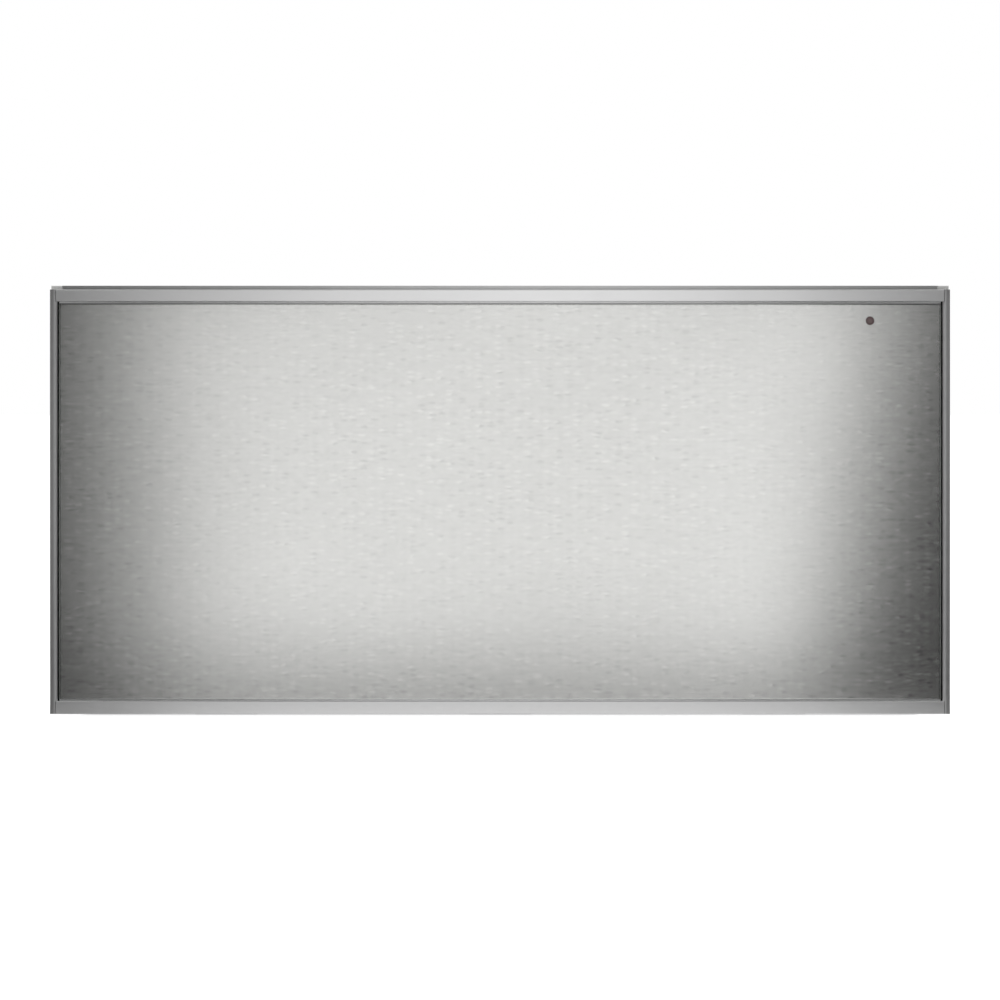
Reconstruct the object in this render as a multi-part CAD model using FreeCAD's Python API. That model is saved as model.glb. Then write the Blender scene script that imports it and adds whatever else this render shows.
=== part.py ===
"""Built-in warming drawer: casing, full-extension runners, heated drawer with a glass front.

Millimetres. X to the right, Y to the back, Z up. The origin is under the middle of the
whole object, on the surface that it stands on. The front faces -Y.
"""
import FreeCAD, Part
import math
import os

V = FreeCAD.Vector
X_AXIS = V(1, 0, 0)
Y_AXIS = V(0, 1, 0)
Z_AXIS = V(0, 0, 1)
ORIGIN = V(0, 0, 0)

# Overall
OVERALL_DEPTH = 535.0
SHEET = 1.0
FIT_GAP = 0.3
NEAR = 0.01

# Front frame
FRONT_WIDTH = 590.0
FRONT_HEIGHT = 278.3
FRONT_LIFT = 1.0
FRONT_DEPTH = 20.0
FRONT_GAP = 5.0
SIDE_BAR_WIDTH = 3.6
SIDE_LIP_WIDTH = 1.3
SIDE_LIP_DEPTH = 5.0
SIDE_LIP_CHAMFER = 1.0
TOP_BAR_HEIGHT = 7.9
BOTTOM_BAR_HEIGHT = 8.5
BAR_WALL = 1.5
BAR_SEAM = 0.2
BAR_EDGE = 0.5

# Pane and what lies behind it
PANE_SIDE_GAP = 1.0
PANE_TOP_GAP = 1.8
PANE_BOTTOM_GAP = 1.3
PANE_RECESS = 1.0
PANE_EDGE = 0.4
GLASS_THICKNESS = 4.0
STEEL_PANEL_THICKNESS = 0.8
SEAL_RECESS = 2.5
SEAL_BACK = 2.0
SEAL_LIP = 5.0
TRAY_WALL = 1.0

# Indicator lamp behind the pane
INDICATOR_FROM_SIDE = 52.4
INDICATOR_BELOW_TOP = 20.5
LENS_RADIUS = 2.8
LENS_LENGTH = 4.0
GUIDE_RADIUS = 1.6
LED_HOUSING = 9.0

# Collar and stop buffers
COLLAR_INSET = 2.0
COLLAR_SHOWS = 2.5
COLLAR_THICKNESS = 2.0
COLLAR_SIDE_OVERLAP = 1.6
COLLAR_TOP_STRIP = 7.8
COLLAR_BOTTOM_STRIP = 5.0
CABINET_SCREW_FROM_SIDE = 6.0
CABINET_SCREW_FROM_END = 38.0
CABINET_SCREW_RADIUS = 2.25
BUFFER_WIDTH = 7.3
BUFFER_HEIGHT = 18.0
BUFFER_OUTSET = 1.5
PUSH_IN = 3.0
BUFFER_FILLET = 0.6

# Casing
CASING_INSET = 20.0
ROOF_BELOW_FRONT = 1.3
FLANGE = 10.0
FRONT_FLANGE = 15.0
TERMINAL_PROUD = 10.0
BACK_SCREW_FROM_END = 20.0
FRONT_SCREW_FROM_END = 25.0

# Pressed beads
BEAD_DEPTH = 1.5
BASE_BEAD_DEPTH = 2.0
BASE_BEAD_PITCH = 180.0
BASE_BEAD_WIDTH = 44.0
BASE_BEAD_FROM_END = 40.0
SIDE_BEAD_WIDTH = 60.0
SIDE_BEAD_FROM_END = 44.0
SIDE_BEAD_GAP = 30.0
SIDE_BEAD_BELOW_ROOF = 99.0
ROOF_BEAD_X = 120.0
ROOF_BEAD_WIDTH = 50.0
ROOF_BEAD_FROM_END = 69.0

# Vents
VENT_WIDTH = 3.0
VENT_LENGTH = 26.0
VENT_PITCH = 9.0
BASE_VENT_Y = 150.0
SIDE_VENT_FROM_BACK = 99.0
SIDE_VENT_BELOW_ROOF = 32.0
BACK_VENT_X = 160.0
BACK_VENT_BELOW_ROOF = 41.0
BACK_VENT_OVER_FLOOR = 47.0
PAN_VENT_X = 150.0
PAN_VENT_FROM_BACK = 28.0
PAN_SLOT_LENGTH = 120.0
PAN_SLOT_WIDTH = 10.0
PAN_SLOT_FROM_SIDE = 24.0
PANEL_VENT_X = 170.0
PANEL_VENT_BELOW_RIM = 26.0
PANEL_VENT_OVER_FLOOR = 109.0
OUTLET_FROM_SIDE = 69.0
OUTLET_FROM_FAN = 50.0

# Runners: sizes across one side, from the casing wall inwards, and up from the middle
RAIL_SETBACK = 8.5
RAIL_REAR_GAP = 38.5
RAIL_THICKNESS = 12.7
RAIL_Z = 60.0
RAIL_WEB = 1.2
RAIL_FLANGE = 1.9
CAGE_SHEET = 0.5
CAGE_ARM = 0.8
CAGE_SETBACK = 122.0
CAGE_REAR_GAP = 128.0
CAGE_PLAY = 0.08
BALL_RADIUS = 2.0
BALL_PLAY = 0.05
BALL_FROM_CAGE_END = 20.0
BALLS_PER_ARM = 6
OUTER_BALL_V = 19.55
INNER_BALL_V = 14.25
OUTER_BALL_U = 6.4
INNER_BALL_U = 8.0
GROOVE_DEPTH = 0.7
OUTER_FLANGE_SHORT = 1.8
RIVET_RADIUS = 2.0
RIVET_HEAD_RADIUS = 4.0
RIVET_HEAD = 1.0
HOLE_PLAY = 0.1
HEAD_ROUND = 0.6
RAIL_FIXING_FROM_END = 35.0
RAIL_SLOT_LENGTH = 22.0
RAIL_SLOT_WIDTH = 8.0
RAIL_SLOT_OFFSET = 60.0

# Drawer box
DRAWER_GROUND_GAP = 7.0
RIM_HEADROOM = 15.0
LEDGE_DEPTH = 32.0
TUB_SIDE_SPACE = 26.3
TUB_FLOOR_LIFT = 17.0
TUB_CORNER = 12.0
FAN_SPACE = 49.5
BACK_CLEARANCE = 19.5
INSULATION_THICKNESS = 9.9
GLASS_BASE_THICKNESS = 5.0
GLASS_BASE_INSET = 1.5
GLASS_BASE_CORNER = 14.0
PAD_HEIGHT = 2.0
PAD_LENGTH = 60.0
PAD_WIDTH = 12.0
PAD_FROM_END = 40.0

# Heaters
BASE_HEATER_RADIUS = 3.25
BASE_HEATER_RUNS = 6
BASE_HEATER_FROM_END = 45.0
BASE_HEATER_FROM_SIDE = 34.0
RING_RADIUS = 58.0
RING_TUBE_RADIUS = 3.2
RING_OPENING_DEG = 34.0
RING_BEND = 9.0

# Fan
FAN_OVER_MIDDLE = 5.0
FAN_RADIUS = 46.0
FAN_DEPTH = 16.0
FAN_WALL_GAP = 5.0
FAN_BLADES = 20
FAN_BLADE_SHEET = 1.0
FAN_BLADE_INNER = 31.0
FAN_BLADE_ANGLE = 30.0
FAN_HUB_RADIUS = 7.0
FAN_EYE_LIP = 4.0
SHAFT_RADIUS = 3.0
SHAFT_PLAY = 0.06
MOTOR_RADIUS = 27.0
MOTOR_LENGTH = 18.0
MOTOR_CAN_LENGTH = 14.4
MOTOR_BOSS_RADIUS = 10.8
COIL_WIDTH = 32.4
COIL_DEPTH = 10.6
COIL_SETBACK = 2.0
COIL_TOP_BELOW_AXIS = 13.5
COIL_BELOW_CAN = 9.0
BRACKET_HALF_WIDTH = 72.0
BRACKET_HALF_HEIGHT = 56.0
BRACKET_DEPTH = 27.0
BRACKET_FOOT = 12.0
GRILLE_RADIUS = 60.0
GRILLE_OPENING_RADIUS = 50.0
GRILLE_SLOT_WIDTH = 5.0
GRILLE_RING_RADII = (14.0, 25.0, 36.0, 46.0)
GRILLE_SLOT_LENGTHS = (12.0, 15.0, 17.0, 17.0)
GRILLE_SLOT_COUNTS = (6, 9, 12, 16)
LIMITER_RADIUS = 8.0
LIMITER_LENGTH = 7.0
LIMITER_TAB_X = 4.0
LIMITER_TAB = (0.8, 5.0, 6.0)

# Controls
KNOB_FROM_SIDE = 46.3
KNOB_RADIUS = 11.5
KNOB_ROUND = 1.2
KNOB_HEIGHT = 9.0
KNOB_LIFT = 0.4
KNOB_STEM_RADIUS = 3.0
KNOB_STEM_LENGTH = 12.0
KNOB_FLUTES = 24
FLUTE_RADIUS = 1.0
FLUTE_OUT = 0.5
POINTER_WIDTH = 1.6
POINTER_PROUD = 0.8
POINTER_INSET = 2.0
SWITCH_WIDTH = 24.0
SWITCH_HEIGHT = 20.0
MODULE_WIDTH = 146.0
MODULE_HEIGHT = 25.0
MODULE_FROM_SIDE = 5.3
MODULE_FRONT_GAP = 2.0
PLUG_FROM_LEFT = 10.0
PLUG_WIDTH = 30.0
PLUG_HEIGHT = 9.0
PLUG_INSET = 6.0

# Ejector, magnet, switch and lead at the back
EJECTOR_PLAY = 0.3
EJECTOR_STROKE = 4.0
EJECTOR_WIDTH = 26.0
PLUNGER_RADIUS = 4.0
PLUNGER_PLAY = 0.08
PLUNGER_FLANGE_RADIUS = 7.0
PLUNGER_FLANGE = 1.5
PLUNGER_OUT = 2.0
HOUSING_WALL = 2.0
SPRING_WIRE_RADIUS = 0.45
SPRING_RADIUS = 5.4
SPRING_TURNS = 4
MAGNET_X = 72.0
MAGNET_OVER_EJECTOR = 56.0
MAGNET_SIZE = (16.0, 4.0, 8.0)
REED_SIZE = (24.0, 7.5, 12.0)
TERMINAL_LEFT_X = -150.0
TERMINAL_WIDTH = 80.0
TERMINAL_BOTTOM_Z = 30.0
TERMINAL_HEIGHT = 50.0
TERMINAL_INSIDE = 10.5
TERMINAL_RIM = 5.0
GLAND_FROM_LEFT = 60.0
GLAND_RADIUS = 4.0
GLAND_LENGTH = 9.0
GLAND_WALL = 3.0
GLAND_NUT = 3.0
GLAND_NUT_OVER = 2.5
LEAD_RADIUS = 3.0
LEAD_BEND = 28.0
LEAD_CLAMP = (24.0, 10.0, 12.0)
LEAD_CLAMP_BELOW_EJECTOR = 14.0

# Places that follow from the sizes above
FRONT_FACE_Y = -OVERALL_DEPTH / 2
FRONT_REAR_Y = FRONT_FACE_Y + FRONT_DEPTH
COLLAR_FACE_Y = FRONT_REAR_Y + FRONT_GAP
COLLAR_REAR_Y = COLLAR_FACE_Y + COLLAR_THICKNESS
CASING_REAR_Y = OVERALL_DEPTH / 2 - TERMINAL_PROUD
CASING_BACK_Y = CASING_REAR_Y - SHEET
CASING_MIDDLE_Y = (COLLAR_REAR_Y + CASING_REAR_Y) / 2
CASING_LENGTH = CASING_REAR_Y - COLLAR_REAR_Y
FRONT_X = FRONT_WIDTH / 2
FRONT_BOTTOM_Z = FRONT_LIFT
FRONT_TOP_Z = FRONT_LIFT + FRONT_HEIGHT
CASING_X = FRONT_X - CASING_INSET
CASING_INNER_X = CASING_X - SHEET
CASING_HEIGHT = FRONT_TOP_Z - ROOF_BELOW_FRONT
BASE_UNDER_Z = BASE_BEAD_DEPTH
BASE_TOP_Z = BASE_UNDER_Z + SHEET
CASING_ROOF_Z = CASING_HEIGHT - SHEET
COLLAR_X = FRONT_X - COLLAR_INSET
COLLAR_TOP_Z = FRONT_TOP_Z + COLLAR_SHOWS
COLLAR_OPENING_X = CASING_INNER_X - COLLAR_SIDE_OVERLAP
COLLAR_OPENING_TOP_Z = COLLAR_TOP_Z - COLLAR_TOP_STRIP
COLLAR_OPENING_BOTTOM_Z = BASE_UNDER_Z + COLLAR_BOTTOM_STRIP
BUFFER_OUTER_X = COLLAR_X + BUFFER_OUTSET
BUFFER_INNER_X = BUFFER_OUTER_X - BUFFER_WIDTH

BAR_INNER_X = FRONT_X - SIDE_BAR_WIDTH
LIP_INNER_X = BAR_INNER_X - SIDE_LIP_WIDTH
TOP_BAR_Z = FRONT_TOP_Z - TOP_BAR_HEIGHT
BOTTOM_BAR_Z = FRONT_BOTTOM_Z + BOTTOM_BAR_HEIGHT
PANE_X = LIP_INNER_X - PANE_SIDE_GAP
PANE_TOP_Z = TOP_BAR_Z - PANE_TOP_GAP
PANE_BOTTOM_Z = BOTTOM_BAR_Z + PANE_BOTTOM_GAP
PANE_FACE_Y = FRONT_FACE_Y + PANE_RECESS
STEEL_PANEL_Y = PANE_FACE_Y + GLASS_THICKNESS
SEAL_LAND_Y = STEEL_PANEL_Y + STEEL_PANEL_THICKNESS
SEAL_REAR_Y = SEAL_LAND_Y + SEAL_BACK
INDICATOR_X = FRONT_X - INDICATOR_FROM_SIDE
INDICATOR_Z = FRONT_TOP_Z - INDICATOR_BELOW_TOP

RAIL_FRONT_Y = COLLAR_REAR_Y + RAIL_SETBACK
RAIL_REAR_Y = CASING_BACK_Y - RAIL_REAR_GAP
RAIL_LENGTH = RAIL_REAR_Y - RAIL_FRONT_Y
CAGE_LENGTH = RAIL_LENGTH - CAGE_SETBACK - CAGE_REAR_GAP
BALL_PITCH = (CAGE_LENGTH - 2 * BALL_FROM_CAGE_END) / (BALLS_PER_ARM - 1)
GROOVE_RADIUS = BALL_RADIUS + BALL_PLAY
GROOVE_REST = GROOVE_RADIUS - GROOVE_DEPTH
OUTER_CAGE_U = RAIL_WEB + FIT_GAP
MIDDLE_U = OUTER_CAGE_U + CAGE_SHEET + FIT_GAP
INNER_CAGE_U = MIDDLE_U + RAIL_WEB + FIT_GAP
INNER_U = INNER_CAGE_U + CAGE_SHEET + FIT_GAP

DRAWER_X = CASING_INNER_X - RAIL_THICKNESS
DRAWER_WALL_X = DRAWER_X - SHEET
DRAWER_UNDER_Z = BASE_TOP_Z + DRAWER_GROUND_GAP
DRAWER_FLOOR_Z = DRAWER_UNDER_Z + SHEET
RIM_Z = CASING_ROOF_Z - RIM_HEADROOM
RIM_UNDER_Z = RIM_Z - SHEET
DRAWER_REAR_Y = CASING_BACK_Y - BACK_CLEARANCE
DRAWER_BACK_Y = DRAWER_REAR_Y - SHEET
TUB_X = DRAWER_WALL_X - TUB_SIDE_SPACE
TUB_FLOOR_Z = DRAWER_FLOOR_Z + TUB_FLOOR_LIFT
TUB_INSIDE_Z = TUB_FLOOR_Z + SHEET
TUB_FRONT_Y = FRONT_REAR_Y + LEDGE_DEPTH
TUB_REAR_Y = DRAWER_BACK_Y - FAN_SPACE
TUB_INSIDE_FRONT_Y = TUB_FRONT_Y + SHEET
TUB_INSIDE_REAR_Y = TUB_REAR_Y - SHEET
TUB_LENGTH = TUB_INSIDE_REAR_Y - TUB_INSIDE_FRONT_Y
TUB_MIDDLE_Y = (TUB_INSIDE_FRONT_Y + TUB_INSIDE_REAR_Y) / 2
BULKHEAD_X = DRAWER_WALL_X - FLANGE
OUTLET_X = TUB_X - OUTLET_FROM_SIDE
KNOB_X = DRAWER_X - KNOB_FROM_SIDE
MODULE_RIGHT_X = DRAWER_X - MODULE_FROM_SIDE

FAN_Z = (TUB_FLOOR_Z + RIM_Z) / 2 + FAN_OVER_MIDDLE
BRACKET_PLATE_Y = TUB_REAR_Y + BRACKET_DEPTH
EJECTOR_Z = FAN_Z
MAGNET_Z = EJECTOR_Z + MAGNET_OVER_EJECTOR
PLUNGER_TIP_Y = DRAWER_REAR_Y + PUSH_IN + EJECTOR_PLAY


def block(x0, x1, y0, y1, z0, z1):
    """A box between two corners."""
    return Part.makeBox(x1 - x0, y1 - y0, z1 - z0, V(x0, y0, z0))


def rod(x, y, z, radius, length, axis):
    """A cylinder that starts at a point and runs along an axis."""
    return Part.makeCylinder(radius, length, V(x, y, z), axis)


def mirrored(shape):
    """The same shape on the other side of the middle plane."""
    return shape.mirror(ORIGIN, X_AXIS)


def joined(shapes):
    """Shapes made into one solid, with flush faces merged."""
    first = shapes[0]
    return first.fuse(shapes[1:]).removeSplitter()


def group(solids):
    """Separate solids that share a node."""
    return Part.makeCompound(solids)


def polygon_prism(points, push):
    """A prism over a flat polygon."""
    wire = Part.makePolygon(points + [points[0]])
    return Part.Face(wire).extrude(push)


def slot_tool(centre, length, width, along, through, depth):
    """A slot with round ends, as a solid to cut with; depth is centred on the point."""
    side = through.cross(along)
    half = (length - width) / 2
    r = width / 2
    start = centre - through * (depth / 2)
    corner_a = start + along * half + side * r
    corner_b = start - along * half + side * r
    corner_c = start - along * half - side * r
    corner_d = start + along * half - side * r
    edges = [
        Part.makeLine(corner_a, corner_b),
        Part.Arc(corner_b, start - along * (half + r), corner_c).toShape(),
        Part.makeLine(corner_c, corner_d),
        Part.Arc(corner_d, start + along * (half + r), corner_a).toShape(),
    ]
    return Part.Face(Part.Wire(edges)).extrude(through * depth)


def frustum(length, width, depth, slope):
    """A four-sided frustum: its large end in the XY plane, tapering down to -depth."""
    def ring(inset, z):
        x = length / 2 - inset
        y = width / 2 - inset
        return Part.makePolygon([V(-x, -y, z), V(x, -y, z), V(x, y, z), V(-x, y, z), V(-x, -y, z)])
    return Part.makeLoft([ring(0, 0), ring(slope, -depth)], True, True)


def placed(shape, origin, x_dir, z_dir):
    """A shape modelled in its own axes, set down with its X and Z along given directions."""
    rotation = FreeCAD.Rotation(x_dir, z_dir.cross(x_dir), z_dir, "ZXY")
    shape.Placement = FreeCAD.Placement(origin, rotation)
    return shape


def pressed(sheet, beads, normal, depth):
    """Presses shallow beads into a sheet from the side that the normal points to."""
    spread = SHEET * (math.sqrt(2) - 1)
    for centre, along, length, width in beads:
        swell = frustum(length + 2 * spread, width + 2 * spread, depth, depth)
        sheet = sheet.fuse(placed(swell, centre - normal * SHEET, along, normal))
    for centre, along, length, width in beads:
        hollow = frustum(length, width, depth, depth)
        sheet = sheet.cut(placed(hollow, centre, along, normal))
    return sheet.removeSplitter()


def vent_row(x, y, z, count, step, along, through):
    """A row of vent slots, centred on a point, stepped along one direction."""
    depth = 6 * SHEET
    tools = []
    for index in range(count):
        offset = (index - (count - 1) / 2) * VENT_PITCH
        tools.append(slot_tool(V(x, y, z) + step * offset, VENT_LENGTH, VENT_WIDTH, along, through, depth))
    return tools


def sweep(edges, radius, start, direction):
    """A round bar along a path of lines and tangent arcs."""
    circle = Part.Wire([Part.makeCircle(radius, start, direction)])
    return Part.Wire(edges).makePipeShell([circle], True, False)


# Casing

def casing_base():
    """Floor sheet; its pressed beads are what the appliance stands on."""
    sheet = block(-CASING_X, CASING_X, COLLAR_REAR_Y, CASING_REAR_Y, BASE_UNDER_Z, BASE_TOP_Z)
    bead_length = CASING_LENGTH - 2 * BASE_BEAD_FROM_END
    top = BASE_TOP_Z
    beads = [(V(x, CASING_MIDDLE_Y, top), Y_AXIS, bead_length, BASE_BEAD_WIDTH)
             for x in (-BASE_BEAD_PITCH, 0, BASE_BEAD_PITCH)]
    sheet = pressed(sheet, beads, Z_AXIS, BASE_BEAD_DEPTH)
    tools = []
    for x in (-BASE_BEAD_PITCH / 2, BASE_BEAD_PITCH / 2):
        for y in (CASING_MIDDLE_Y - BASE_VENT_Y, CASING_MIDDLE_Y + BASE_VENT_Y):
            tools += vent_row(x, y, top, 7, X_AXIS, Y_AXIS, Z_AXIS)
    return sheet.cut(tools)


def casing_side():
    """Right side sheet with flanges folded inwards at the top, bottom and back."""
    inner = CASING_INNER_X
    sheet = block(inner, CASING_X, COLLAR_REAR_Y, CASING_REAR_Y, BASE_TOP_Z, CASING_ROOF_Z)
    bead_length = (CASING_LENGTH - SIDE_BEAD_GAP) / 2 - SIDE_BEAD_FROM_END
    reach = (bead_length + SIDE_BEAD_GAP) / 2
    bead_z = CASING_ROOF_Z - SIDE_BEAD_BELOW_ROOF
    beads = [(V(CASING_X, y, bead_z), Y_AXIS, bead_length, SIDE_BEAD_WIDTH)
             for y in (CASING_MIDDLE_Y - reach, CASING_MIDDLE_Y + reach)]
    sheet = pressed(sheet, beads, X_AXIS, BEAD_DEPTH)
    end_y = CASING_BACK_Y - SHEET
    roof_flange = block(inner - FLANGE, inner, COLLAR_REAR_Y, end_y, CASING_ROOF_Z - SHEET, CASING_ROOF_Z)
    floor_flange = block(inner - FLANGE, inner, COLLAR_REAR_Y, end_y, BASE_TOP_Z, BASE_TOP_Z + SHEET)
    back_flange = block(inner - FLANGE, inner, end_y, CASING_BACK_Y, BASE_TOP_Z, CASING_ROOF_Z)
    sheet = joined([sheet, roof_flange, floor_flange, back_flange])
    vent_y = CASING_REAR_Y - SIDE_VENT_FROM_BACK
    vent_z = CASING_ROOF_Z - SIDE_VENT_BELOW_ROOF
    tools = vent_row(CASING_X, vent_y, vent_z, 9, Y_AXIS, Z_AXIS, X_AXIS)
    for y in rail_fixing_ys():
        tools.append(rod(inner - SHEET, y, RAIL_Z, RIVET_RADIUS + HOLE_PLAY, 3 * SHEET, X_AXIS))
    return sheet.cut(tools + back_screw_holes(1))


def casing_top():
    """Top sheet with two shallow beads; its flat is what an oven stands on."""
    sheet = block(-CASING_X, CASING_X, COLLAR_REAR_Y, CASING_REAR_Y, CASING_ROOF_Z, CASING_HEIGHT)
    bead_length = CASING_LENGTH - 2 * ROOF_BEAD_FROM_END
    beads = [(V(x, CASING_MIDDLE_Y, CASING_HEIGHT), Y_AXIS, bead_length, ROOF_BEAD_WIDTH)
             for x in (-ROOF_BEAD_X, ROOF_BEAD_X)]
    return pressed(sheet, beads, Z_AXIS, BEAD_DEPTH)


def back_screw_places():
    """Where the back sheet is screwed to one side's flange."""
    x = CASING_INNER_X - FLANGE / 2
    middle = (BASE_TOP_Z + CASING_ROOF_Z) / 2
    reach = (CASING_ROOF_Z - BASE_TOP_Z) / 2 - BACK_SCREW_FROM_END
    return [(x, z) for z in (middle - reach, middle, middle + reach)]


def back_screw_holes(side):
    """Clearance holes for the screws of the back, on one side."""
    radius = RIVET_RADIUS + HOLE_PLAY
    start = CASING_BACK_Y - 3 * SHEET
    return [rod(side * x, start, z, radius, 6 * SHEET, Y_AXIS) for x, z in back_screw_places()]


def casing_back():
    """Back sheet with vents and the cut-out of the terminal box."""
    inner = CASING_INNER_X
    sheet = block(-inner, inner, CASING_BACK_Y, CASING_REAR_Y, BASE_TOP_Z, CASING_ROOF_Z)
    tools = back_screw_holes(1) + back_screw_holes(-1)
    high_z = CASING_ROOF_Z - BACK_VENT_BELOW_ROOF
    low_z = BASE_TOP_Z + BACK_VENT_OVER_FLOOR
    for x, z in ((-BACK_VENT_X, high_z), (BACK_VENT_X, high_z), (BACK_VENT_X, low_z)):
        tools += vent_row(x, CASING_REAR_Y, z, 13, X_AXIS, Z_AXIS, Y_AXIS)
    x0, x1, z0, z1 = terminal_outline(FIT_GAP / 3)
    tools.append(block(x0, x1, CASING_BACK_Y - SHEET, CASING_REAR_Y + SHEET, z0, z1))
    return sheet.cut(tools)


def face_frame():
    """Collar on the cabinet's front edges, with notches for the stop buffers."""
    plate = block(-COLLAR_X, COLLAR_X, COLLAR_FACE_Y, COLLAR_REAR_Y, BASE_UNDER_Z, COLLAR_TOP_Z)
    y0 = COLLAR_FACE_Y - SHEET
    y1 = COLLAR_REAR_Y + SHEET
    x = COLLAR_OPENING_X
    tools = [block(-x, x, y0, y1, COLLAR_OPENING_BOTTOM_Z, COLLAR_OPENING_TOP_Z)]
    for side in (-1, 1):
        x0, x1 = sorted((side * BUFFER_INNER_X, side * (COLLAR_X + SHEET)))
        tools.append(block(x0, x1, y0, y1, COLLAR_TOP_Z - BUFFER_HEIGHT, COLLAR_TOP_Z + SHEET))
        tools.append(block(x0, x1, y0, y1, BASE_UNDER_Z - SHEET, BASE_UNDER_Z + BUFFER_HEIGHT))
        x = side * (COLLAR_X - CABINET_SCREW_FROM_SIDE)
        for z in (BASE_UNDER_Z + CABINET_SCREW_FROM_END, CASING_HEIGHT - CABINET_SCREW_FROM_END):
            tools.append(rod(x, y0, z, CABINET_SCREW_RADIUS, y1 - y0, Y_AXIS))
    return plate.cut(tools)


def stop_buffers():
    """Upper and lower buffers of the right side, in the collar's notches."""
    face = FRONT_REAR_Y + PUSH_IN + FIT_GAP
    solids = []
    for z0 in (BASE_UNDER_Z, COLLAR_TOP_Z - BUFFER_HEIGHT):
        pad = block(BUFFER_INNER_X, BUFFER_OUTER_X, face, COLLAR_REAR_Y, z0, z0 + BUFFER_HEIGHT)
        front_edges = [e for e in pad.Edges if e.BoundBox.YMax < face + NEAR]
        solids.append(pad.makeFillet(BUFFER_FILLET, front_edges))
    return group(solids)


# Runners

def at_u(u):
    """X of a distance from the right casing wall."""
    return CASING_INNER_X - u


def channel(back_u, open_u, web, half_height, flange, y0, length):
    """A C-shaped member: web at one side, flanges reaching to the other."""
    turn = 1 if open_u > back_u else -1
    web_u = back_u + turn * web
    inside = half_height - flange
    outline = [(back_u, -half_height), (open_u, -half_height), (open_u, -inside), (web_u, -inside),
               (web_u, inside), (open_u, inside), (open_u, half_height), (back_u, half_height)]
    points = [V(at_u(u), y0, RAIL_Z + v) for u, v in outline]
    return polygon_prism(points, Y_AXIS * length)


def grooved(member, ball_u, ball_v):
    """Cuts the ball grooves of one ball line into a member."""
    y0 = RAIL_FRONT_Y - SHEET
    length = RAIL_LENGTH + 2 * SHEET
    tools = [rod(at_u(ball_u), y0, RAIL_Z + side * ball_v, GROOVE_RADIUS, length, Y_AXIS) for side in (-1, 1)]
    return member.cut(tools)


def rail_fixing_ys():
    """Where the outer members are riveted and the inner ones screwed."""
    first = RAIL_FRONT_Y + RAIL_FIXING_FROM_END
    last = RAIL_REAR_Y - RAIL_FIXING_FROM_END
    return [first, (first + last) / 2, last]


def rail_outer():
    """Outer member, riveted to the casing side."""
    flange_face = OUTER_BALL_V + GROOVE_REST
    half = flange_face + RAIL_FLANGE
    open_u = RAIL_THICKNESS - OUTER_FLANGE_SHORT
    member = channel(0, open_u, RAIL_WEB, half, RAIL_FLANGE, RAIL_FRONT_Y, RAIL_LENGTH)
    member = grooved(member, OUTER_BALL_U, OUTER_BALL_V)
    tools = []
    for y in rail_fixing_ys()[:-1]:
        centre = V(at_u(RAIL_WEB / 2), y + RAIL_SLOT_OFFSET, RAIL_Z)
        tools.append(slot_tool(centre, RAIL_SLOT_LENGTH, RAIL_SLOT_WIDTH, Y_AXIS, X_AXIS, 4 * RAIL_WEB))
    for y in rail_fixing_ys():
        tools.append(rod(at_u(2 * RAIL_WEB), y, RAIL_Z, RIVET_RADIUS + HOLE_PLAY, 3 * RAIL_WEB, X_AXIS))
    return member.cut(tools)


def rail_middle():
    """Middle member, which runs out half as far as the drawer."""
    half = OUTER_BALL_V - GROOVE_REST
    flange = half - (INNER_BALL_V + GROOVE_REST)
    open_u = RAIL_THICKNESS - MIDDLE_U
    member = channel(MIDDLE_U, open_u, RAIL_WEB, half, flange, RAIL_FRONT_Y, RAIL_LENGTH)
    member = grooved(member, OUTER_BALL_U, OUTER_BALL_V)
    return grooved(member, INNER_BALL_U, INNER_BALL_V)


def rail_inner():
    """Inner member, screwed to the drawer's side."""
    half = INNER_BALL_V - GROOVE_REST
    member = channel(RAIL_THICKNESS, INNER_U, RAIL_WEB, half, RAIL_FLANGE, RAIL_FRONT_Y, RAIL_LENGTH)
    member = grooved(member, INNER_BALL_U, INNER_BALL_V)
    tools = [rod(at_u(RAIL_THICKNESS + SHEET), y, RAIL_Z, RIVET_RADIUS + HOLE_PLAY, 4 * SHEET, X_AXIS)
             for y in rail_fixing_ys()]
    return member.cut(tools)


def ball_cage(web_u, reach, ball_u, ball_v):
    """A folded cage strip with its balls, as separate solids."""
    y0 = RAIL_FRONT_Y + CAGE_SETBACK
    strip = channel(web_u, reach, CAGE_SHEET, ball_v + CAGE_ARM / 2, CAGE_ARM, y0, CAGE_LENGTH)
    middle_y = y0 + CAGE_LENGTH / 2
    holes = []
    balls = []
    for index in range(BALLS_PER_ARM):
        y = middle_y + (index - (BALLS_PER_ARM - 1) / 2) * BALL_PITCH
        holes.append(rod(at_u(ball_u), y, RAIL_Z - 2 * ball_v, BALL_RADIUS + CAGE_PLAY, 4 * ball_v, Z_AXIS))
        for side in (-1, 1):
            balls.append(Part.makeSphere(BALL_RADIUS, V(at_u(ball_u), y, RAIL_Z + side * ball_v)))
    return group([strip.cut(holes)] + balls)


# Drawer box

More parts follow.
